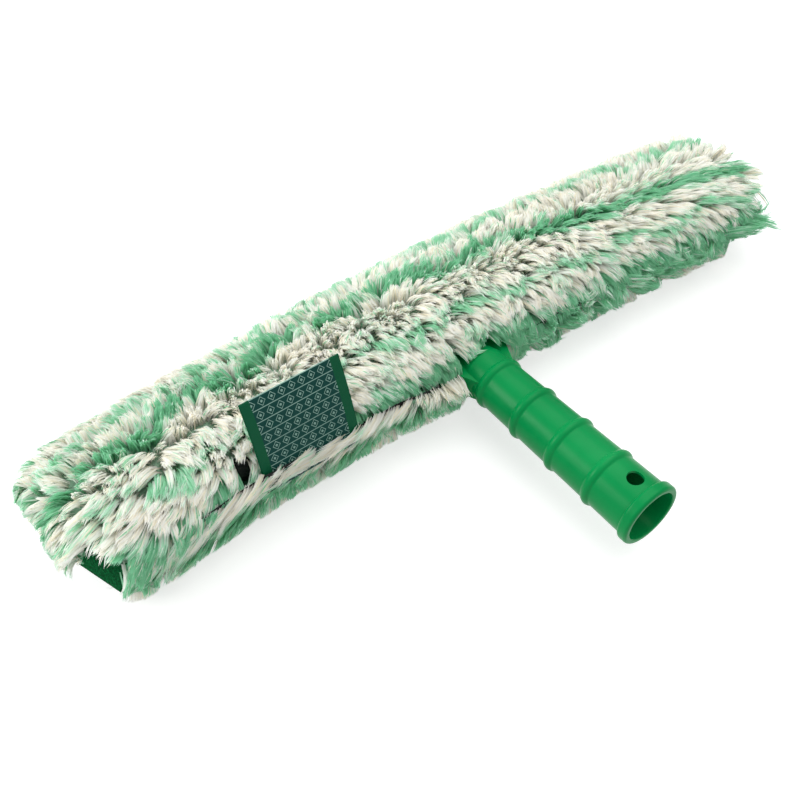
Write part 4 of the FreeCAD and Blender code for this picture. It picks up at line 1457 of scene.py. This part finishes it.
def label_surface(ribbon):
    """The label's middle surface, from its tuck inside the slit to its head on the crown."""
    centre_y, centre_z, foot, head = label_arc()
    foot += LABEL_TUCK / LABEL_CURVE * math.copysign(1, foot - head)

    def surface(across, along):
        angle = foot + (head - foot) * along
        wave = LABEL_WAVE * math.sin(across * 5.2 + 0.8) * math.sin(along * 3.0)
        radius = LABEL_CURVE + LABEL_LIFT + wave
        x = ribbon.middle + (across - 0.5) * ribbon.width
        normal = np.array((0.0, math.cos(angle), math.sin(angle)))
        point = np.array((x, BAR_Y + centre_y, centre_z)) + normal * radius
        return point, normal

    return surface


# The motif's shares of its cells, and of the label's half width
MOTIF_ROWS = 8.0
MOTIF_COLUMNS = 10.0
FIELD_HALF = 0.405
LOZENGE_SIZE = 0.36
LOZENGE_LINE = 0.04
HEART_SIZE = 0.14
LINE_PLACE = 0.462


def label_material(ribbon):
    """Woven ribbon: plain bands at its sides, and a field of small lozenges in rows between fine lines."""
    material, tree, shader = new_material("woven_ribbon")
    place = add_node(tree, "ShaderNodeUVMap", {"uv_map": RIBBON_MAP})
    parts = add_node(tree, "ShaderNodeSeparateXYZ", Vector=place.outputs["UV"])
    across, along = parts.outputs["X"], parts.outputs["Y"]
    weave = use_group(tree, weave_group(), Across=across, Along=along, Warp_Count=110.0, Weft_Count=90.0)
    off_middle = calc(tree, "ABSOLUTE", calc(tree, "SUBTRACT", across, 0.5))
    in_field = calc(tree, "LESS_THAN", off_middle, FIELD_HALF)
    tucked = LABEL_TUCK / label_length()
    rows = calc(tree, "MULTIPLY_ADD", along, MOTIF_ROWS * (1 + tucked), -MOTIF_ROWS * tucked)
    row_number = calc(tree, "FLOOR", rows)
    odd = calc(tree, "PINGPONG", row_number, 1.0)
    in_line = calc(tree, "MULTIPLY", across, MOTIF_COLUMNS)
    columns = calc(tree, "ADD", in_line, calc(tree, "MULTIPLY", odd, 0.5))
    from_row = calc(tree, "ABSOLUTE", calc(tree, "SUBTRACT", calc(tree, "FRACT", rows), 0.5))
    from_column = calc(tree, "ABSOLUTE", calc(tree, "SUBTRACT", calc(tree, "FRACT", columns), 0.5))
    lozenge = calc(tree, "ADD", from_row, from_column)
    outline = calc(tree, "COMPARE", lozenge, LOZENGE_SIZE, LOZENGE_LINE)
    heart = calc(tree, "LESS_THAN", lozenge, HEART_SIZE)
    line = calc(tree, "GREATER_THAN", from_row, LINE_PLACE)
    marks = calc(tree, "MAXIMUM", calc(tree, "MAXIMUM", outline, heart), line)
    drawn = calc(tree, "MULTIPLY", marks, in_field)
    thread = calc(tree, "MULTIPLY_ADD", weave.outputs["Weft"], 0.45, 0.55)
    ground = blend_colours(tree, in_field, ribbon.edge_band, ribbon.field)
    woven = blend_colours(tree, calc(tree, "MULTIPLY", drawn, thread), ground, ribbon.motif)
    # Painted shade: the label darkens where its threads dip between crossings
    dim = calc(tree, "MULTIPLY_ADD", weave.outputs["Height"], 0.35, 0.7)
    shade = add_node(tree, "ShaderNodeCombineColor", Red=dim, Green=dim, Blue=dim)
    colour = blend_colours(tree, 1.0, woven, shade.outputs[0], "MULTIPLY")
    roughness = calc(tree, "MULTIPLY_ADD", weave.outputs["Height"], -0.15, 0.62)
    put_all(tree, shader, Base_Color=colour, Roughness=roughness, Specular_IOR_Level=0.15)
    height = calc(tree, "ADD", weave.outputs["Height"], calc(tree, "MULTIPLY", drawn, 0.8))
    bump(tree, shader, height, 0.5, 0.25 * MM)
    return material


class SCRUBBER_OT_sew_label(Operator):
    """Makes the woven label that is sewn into the slit"""

    bl_idname = "scrubber.sew_label"
    bl_label = "Sew label"

    def execute(self, context):
        ribbon = context.scene.scrubber_ribbon
        mesh = ribbon_sheet("label_ribbon", label_surface(ribbon), 44, 40, ribbon.thickness)
        piece = new_object("label_ribbon", mesh, label_material(ribbon))
        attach(piece, "label")
        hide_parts("woven_label")
        return {"FINISHED"}


# End tabs

def tab_surface(side):
    """An end tab's middle surface, leaning in over the end of the sleeve."""

    def surface(across, along):
        bow = TAB_BOW * math.sin(math.pi * along)
        place = TAB_FRONT + TAB_WIDTH * (across if side < 0 else 1 - across)
        x = side * (TAB_FOOT - tab_inset(place) - TAB_LEAN * along + bow)
        z = TAB_BASE + TAB_RISE * along
        normal = np.array((side * TAB_RISE, -TAB_CURL / TAB_WIDTH * TAB_RISE, TAB_LEAN))
        return np.array((x, BAR_Y + place, z)), normal / np.linalg.norm(normal)

    return surface


def napped_material(ribbon):
    """Brushed nylon: short fibres in small tufts, with painted shade between them and painted light on their
    tops.
    """
    material, tree, shader = new_material("napped_tab")
    grain = use_group(tree, grain_group(), Fine_Scale=1100.0, Slow_Scale=420.0)
    green = ribbon.tab_green
    # Painted shade in the low grain and painted light on the high grain
    shades = [(0.3, scaled(green, 0.25)), (0.52, green), (0.72, scaled(green, 2.1))]
    colour = ramp(tree, grain.outputs["Height"], shades)
    put_all(tree, shader, Base_Color=colour, Roughness=0.9, Specular_IOR_Level=0.08)
    height = calc(tree, "ADD", grain.outputs["Height"], calc(tree, "MULTIPLY", grain.outputs["Mottle"], 0.7))
    bump(tree, shader, height, 0.9, 0.8 * MM)
    return material


class SCRUBBER_OT_sew_tabs(Operator):
    """Makes the napped tabs at the sleeve's two ends"""

    bl_idname = "scrubber.sew_tabs"
    bl_label = "Sew end tabs"

    def execute(self, context):
        material = napped_material(context.scene.scrubber_ribbon)
        for side, word in ((-1, "left"), (1, "right")):
            mesh = ribbon_sheet(f"tab_cloth_{word}", tab_surface(side), 20, 18, TAB_THICKNESS)
            piece = new_object(mesh.name, mesh, material)
            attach(piece, f"{word}_tab")
            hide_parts(f"end_tab_{word}")
        return {"FINISHED"}


# Moulded pieces, screws and closing tapes keep their solids and get their finishes

def moulded_material(name, colour, roughness):
    """Satin moulded plastic: fine skin grain, slow shade changes and faint rubbed patches."""
    material, tree, shader = new_material(name)
    grain = use_group(tree, grain_group(), Fine_Scale=1500.0, Slow_Scale=26.0)
    rubbed = tuple(min(1.0, 1.12 * part + 0.004) for part in colour)
    shade = ramp(tree, grain.outputs["Mottle"], [(0.3, scaled(colour, 0.9)), (0.5, colour), (0.72, rubbed)])
    uneven = calc(tree, "MULTIPLY_ADD", grain.outputs["Mottle"], 0.14, roughness - 0.07)
    put_all(tree, shader, Base_Color=shade, Roughness=uneven, Specular_IOR_Level=0.11)
    bump(tree, shader, grain.outputs["Height"], 0.12, 0.05 * MM)
    return material


class SCRUBBER_OT_finish_mouldings(Operator):
    """Finishes the handle, the crossbar and its end caps"""

    bl_idname = "scrubber.finish_mouldings"
    bl_label = "Finish mouldings"

    def execute(self, context):
        look = context.scene.scrubber_moulding
        handle = moulded_material("moulded_green", look.handle_green, look.gloss_roughness)
        bar = moulded_material("bar_green", look.bar_green, look.gloss_roughness + 0.08)
        paint("handle", handle)
        for node in ("crossbar", "end_cap_left", "end_cap_right"):
            paint(node, bar)
        return {"FINISHED"}


class SCRUBBER_OT_finish_screws(Operator):
    """Finishes the two plated screws"""

    bl_idname = "scrubber.finish_screws"
    bl_label = "Finish screws"

    def execute(self, context):
        look = context.scene.scrubber_moulding
        material, tree, shader = new_material("screw_steel")
        grain = use_group(tree, grain_group(), Fine_Scale=2600.0, Slow_Scale=300.0)
        shade = ramp(tree, grain.outputs["Mottle"], [(0.35, scaled(look.steel, 0.6)), (0.6, look.steel)])
        uneven = calc(tree, "MULTIPLY_ADD", grain.outputs["Mottle"], 0.3, 0.2)
        put_all(tree, shader, Base_Color=shade, Metallic=1.0, Roughness=uneven)
        bump(tree, shader, grain.outputs["Height"], 0.2, 0.03 * MM)
        paint("bar_screws", material)
        return {"FINISHED"}


def tape_material(name, colour, tufts, rise):
    """Closing tape: rows of hooks, or a felt of loops, over a woven ground, with painted light on each tuft
    and painted shade between them.
    """
    material, tree, shader = new_material(name)
    place = tree.nodes.new("ShaderNodeTexCoord").outputs["Object"]
    cells = add_node(tree, "ShaderNodeTexVoronoi", Vector=place, Scale=tufts, Randomness=0.35)
    grain = use_group(tree, grain_group(), Fine_Scale=1900.0, Slow_Scale=90.0)
    from_tuft = cells.outputs["Distance"]
    # Painted light at each tuft's middle and painted shade between the tufts
    shades = [(0.05, scaled(colour, 1.5)), (0.45, colour), (0.8, scaled(colour, 0.4))]
    uneven = calc(tree, "MULTIPLY_ADD", grain.outputs["Mottle"], 0.2, 0.6)
    put_all(tree, shader, Base_Color=ramp(tree, from_tuft, shades), Roughness=uneven)
    height = calc(tree, "SUBTRACT", calc(tree, "MULTIPLY", grain.outputs["Height"], 0.4), from_tuft)
    bump(tree, shader, height, 0.9, rise)
    return material


class SCRUBBER_OT_finish_tapes(Operator):
    """Finishes the hook and loop closing tapes"""

    bl_idname = "scrubber.finish_tapes"
    bl_label = "Finish closing tapes"

    def execute(self, context):
        colour = context.scene.scrubber_ribbon.tape_green
        hooks = tape_material("hook_tape", colour, 700.0, 0.6 * MM)
        loops = tape_material("loop_tape", colour, 1300.0, 0.4 * MM)
        for word in ("left", "right"):
            paint(f"hook_strip_{word}", hooks)
            paint(f"loop_strip_{word}", loops)
        return {"FINISHED"}


# Stage

def floor_material():
    """Pale floor: white to the camera where it is lit, with the object's shadow on it."""
    material = bpy.data.materials.new("studio_floor")
    tree, output = bare_tree(material, "ShaderNodeOutputMaterial")
    path = tree.nodes.new("ShaderNodeLightPath")
    seen = calc(tree, "MAXIMUM", path.outputs["Is Camera Ray"], path.outputs["Is Glossy Ray"])
    seen = calc(tree, "MAXIMUM", seen, path.outputs["Is Transmission Ray"])
    paper = add_node(tree, "ShaderNodeBsdfDiffuse", Color=(0.62, 0.62, 0.62, 1.0))
    glow = add_node(tree, "ShaderNodeEmission", Strength=calc(tree, "MULTIPLY", seen, 0.62))
    both = tree.nodes.new("ShaderNodeAddShader")
    tree.links.new(paper.outputs[0], both.inputs[0])
    tree.links.new(glow.outputs[0], both.inputs[1])
    tree.links.new(both.outputs[0], output.inputs["Surface"])
    return material


def soft_box(name, place, target, width, power):
    """A large square lamp that faces a target."""
    lamp = bpy.data.lights.new(name, "AREA")
    lamp.shape = "SQUARE"
    lamp.size = width
    lamp.energy = power
    holder = bpy.data.objects.new(name, lamp)
    bpy.context.scene.collection.objects.link(holder)
    holder.location = place
    way = np.array(target) - np.array(place)
    flat = math.hypot(way[0], way[1])
    holder.rotation_euler = (math.atan2(flat, -way[2]), 0.0, math.atan2(way[1], way[0]) - math.pi / 2)
    return holder


class SCRUBBER_OT_set_stage(Operator):
    """Sets the pale floor, the soft light and the camera"""

    bl_idname = "scrubber.set_stage"
    bl_label = "Set stage"

    def execute(self, context):
        scene = context.scene
        look = scene.scrubber_stage
        scene.view_settings.view_transform = "Standard"
        form = bmesh.new()
        bmesh.ops.create_grid(form, x_segments=1, y_segments=1, size=6.0)
        floor = new_object("studio_floor", finished_mesh(form, "studio_floor"), floor_material())
        floor.location.z = BASE - 0.2 * MM
        middle = (0.0, 0.14, 0.0)
        soft_box("key_box", (0.3, 0.3, 1.25), middle, 1.3, look.key_power)
        soft_box("side_box", (-1.28, 1.18, 0.72), middle, 0.96, look.side_power)
        self.light_world(scene, look.ambient)
        camera = bpy.data.cameras.new("photo_camera")
        camera.sensor_width = 36.0
        camera.lens = look.lens
        camera.clip_start = 0.01
        holder = bpy.data.objects.new("photo_camera", camera)
        scene.collection.objects.link(holder)
        holder.location = look.camera_place
        holder.rotation_euler = (math.pi / 2 - look.elevation, 0.0, look.azimuth)
        scene.camera = holder
        return {"FINISHED"}

    def light_world(self, scene, ambient):
        """Soft light from all round, and white where the camera sees past the floor."""
        world = bpy.data.worlds.new("studio_world")
        tree, output = bare_tree(world, "ShaderNodeOutputWorld")
        path = tree.nodes.new("ShaderNodeLightPath")
        seen = calc(tree, "MAXIMUM", path.outputs["Is Camera Ray"], path.outputs["Is Transmission Ray"])
        strength = calc(tree, "MULTIPLY_ADD", seen, 1.0 - ambient, ambient)
        light = add_node(tree, "ShaderNodeBackground", Color=(1.0, 1.0, 1.0, 1.0), Strength=strength)
        tree.links.new(light.outputs[0], output.inputs["Surface"])
        scene.world = world


OPERATORS = (
    SCRUBBER_OT_set_stage,
    SCRUBBER_OT_finish_mouldings,
    SCRUBBER_OT_finish_screws,
    SCRUBBER_OT_finish_tapes,
    SCRUBBER_OT_pad_sleeve,
    SCRUBBER_OT_grow_pile,
    SCRUBBER_OT_sew_tabs,
    SCRUBBER_OT_sew_label,
)


class SCRUBBER_PT_build(Panel):
    """Lists the steps that dress the scrubber"""

    bl_idname = "SCRUBBER_PT_build"
    bl_label = "Window scrubber"
    bl_space_type = "VIEW_3D"
    bl_region_type = "UI"
    bl_category = "Scrubber"

    def draw(self, context):
        for step in OPERATORS:
            self.layout.operator(step.bl_idname)


LOOKS = {
    "scrubber_sleeve": SleeveLook,
    "scrubber_moulding": MouldingLook,
    "scrubber_ribbon": RibbonLook,
    "scrubber_stage": StageLook,
}


def register():
    for name, look in LOOKS.items():
        bpy.utils.register_class(look)
        setattr(bpy.types.Scene, name, PointerProperty(type=look))
    for step in (*OPERATORS, SCRUBBER_PT_build):
        bpy.utils.register_class(step)


def unregister():
    for step in (SCRUBBER_PT_build, *reversed(OPERATORS)):
        bpy.utils.unregister_class(step)
    for name, look in reversed(LOOKS.items()):
        delattr(bpy.types.Scene, name)
        bpy.utils.unregister_class(look)


def main():
    register()
    for step in OPERATORS:
        group, action = step.bl_idname.split(".")
        getattr(getattr(bpy.ops, group), action)()


if __name__ == "__main__":
    main()
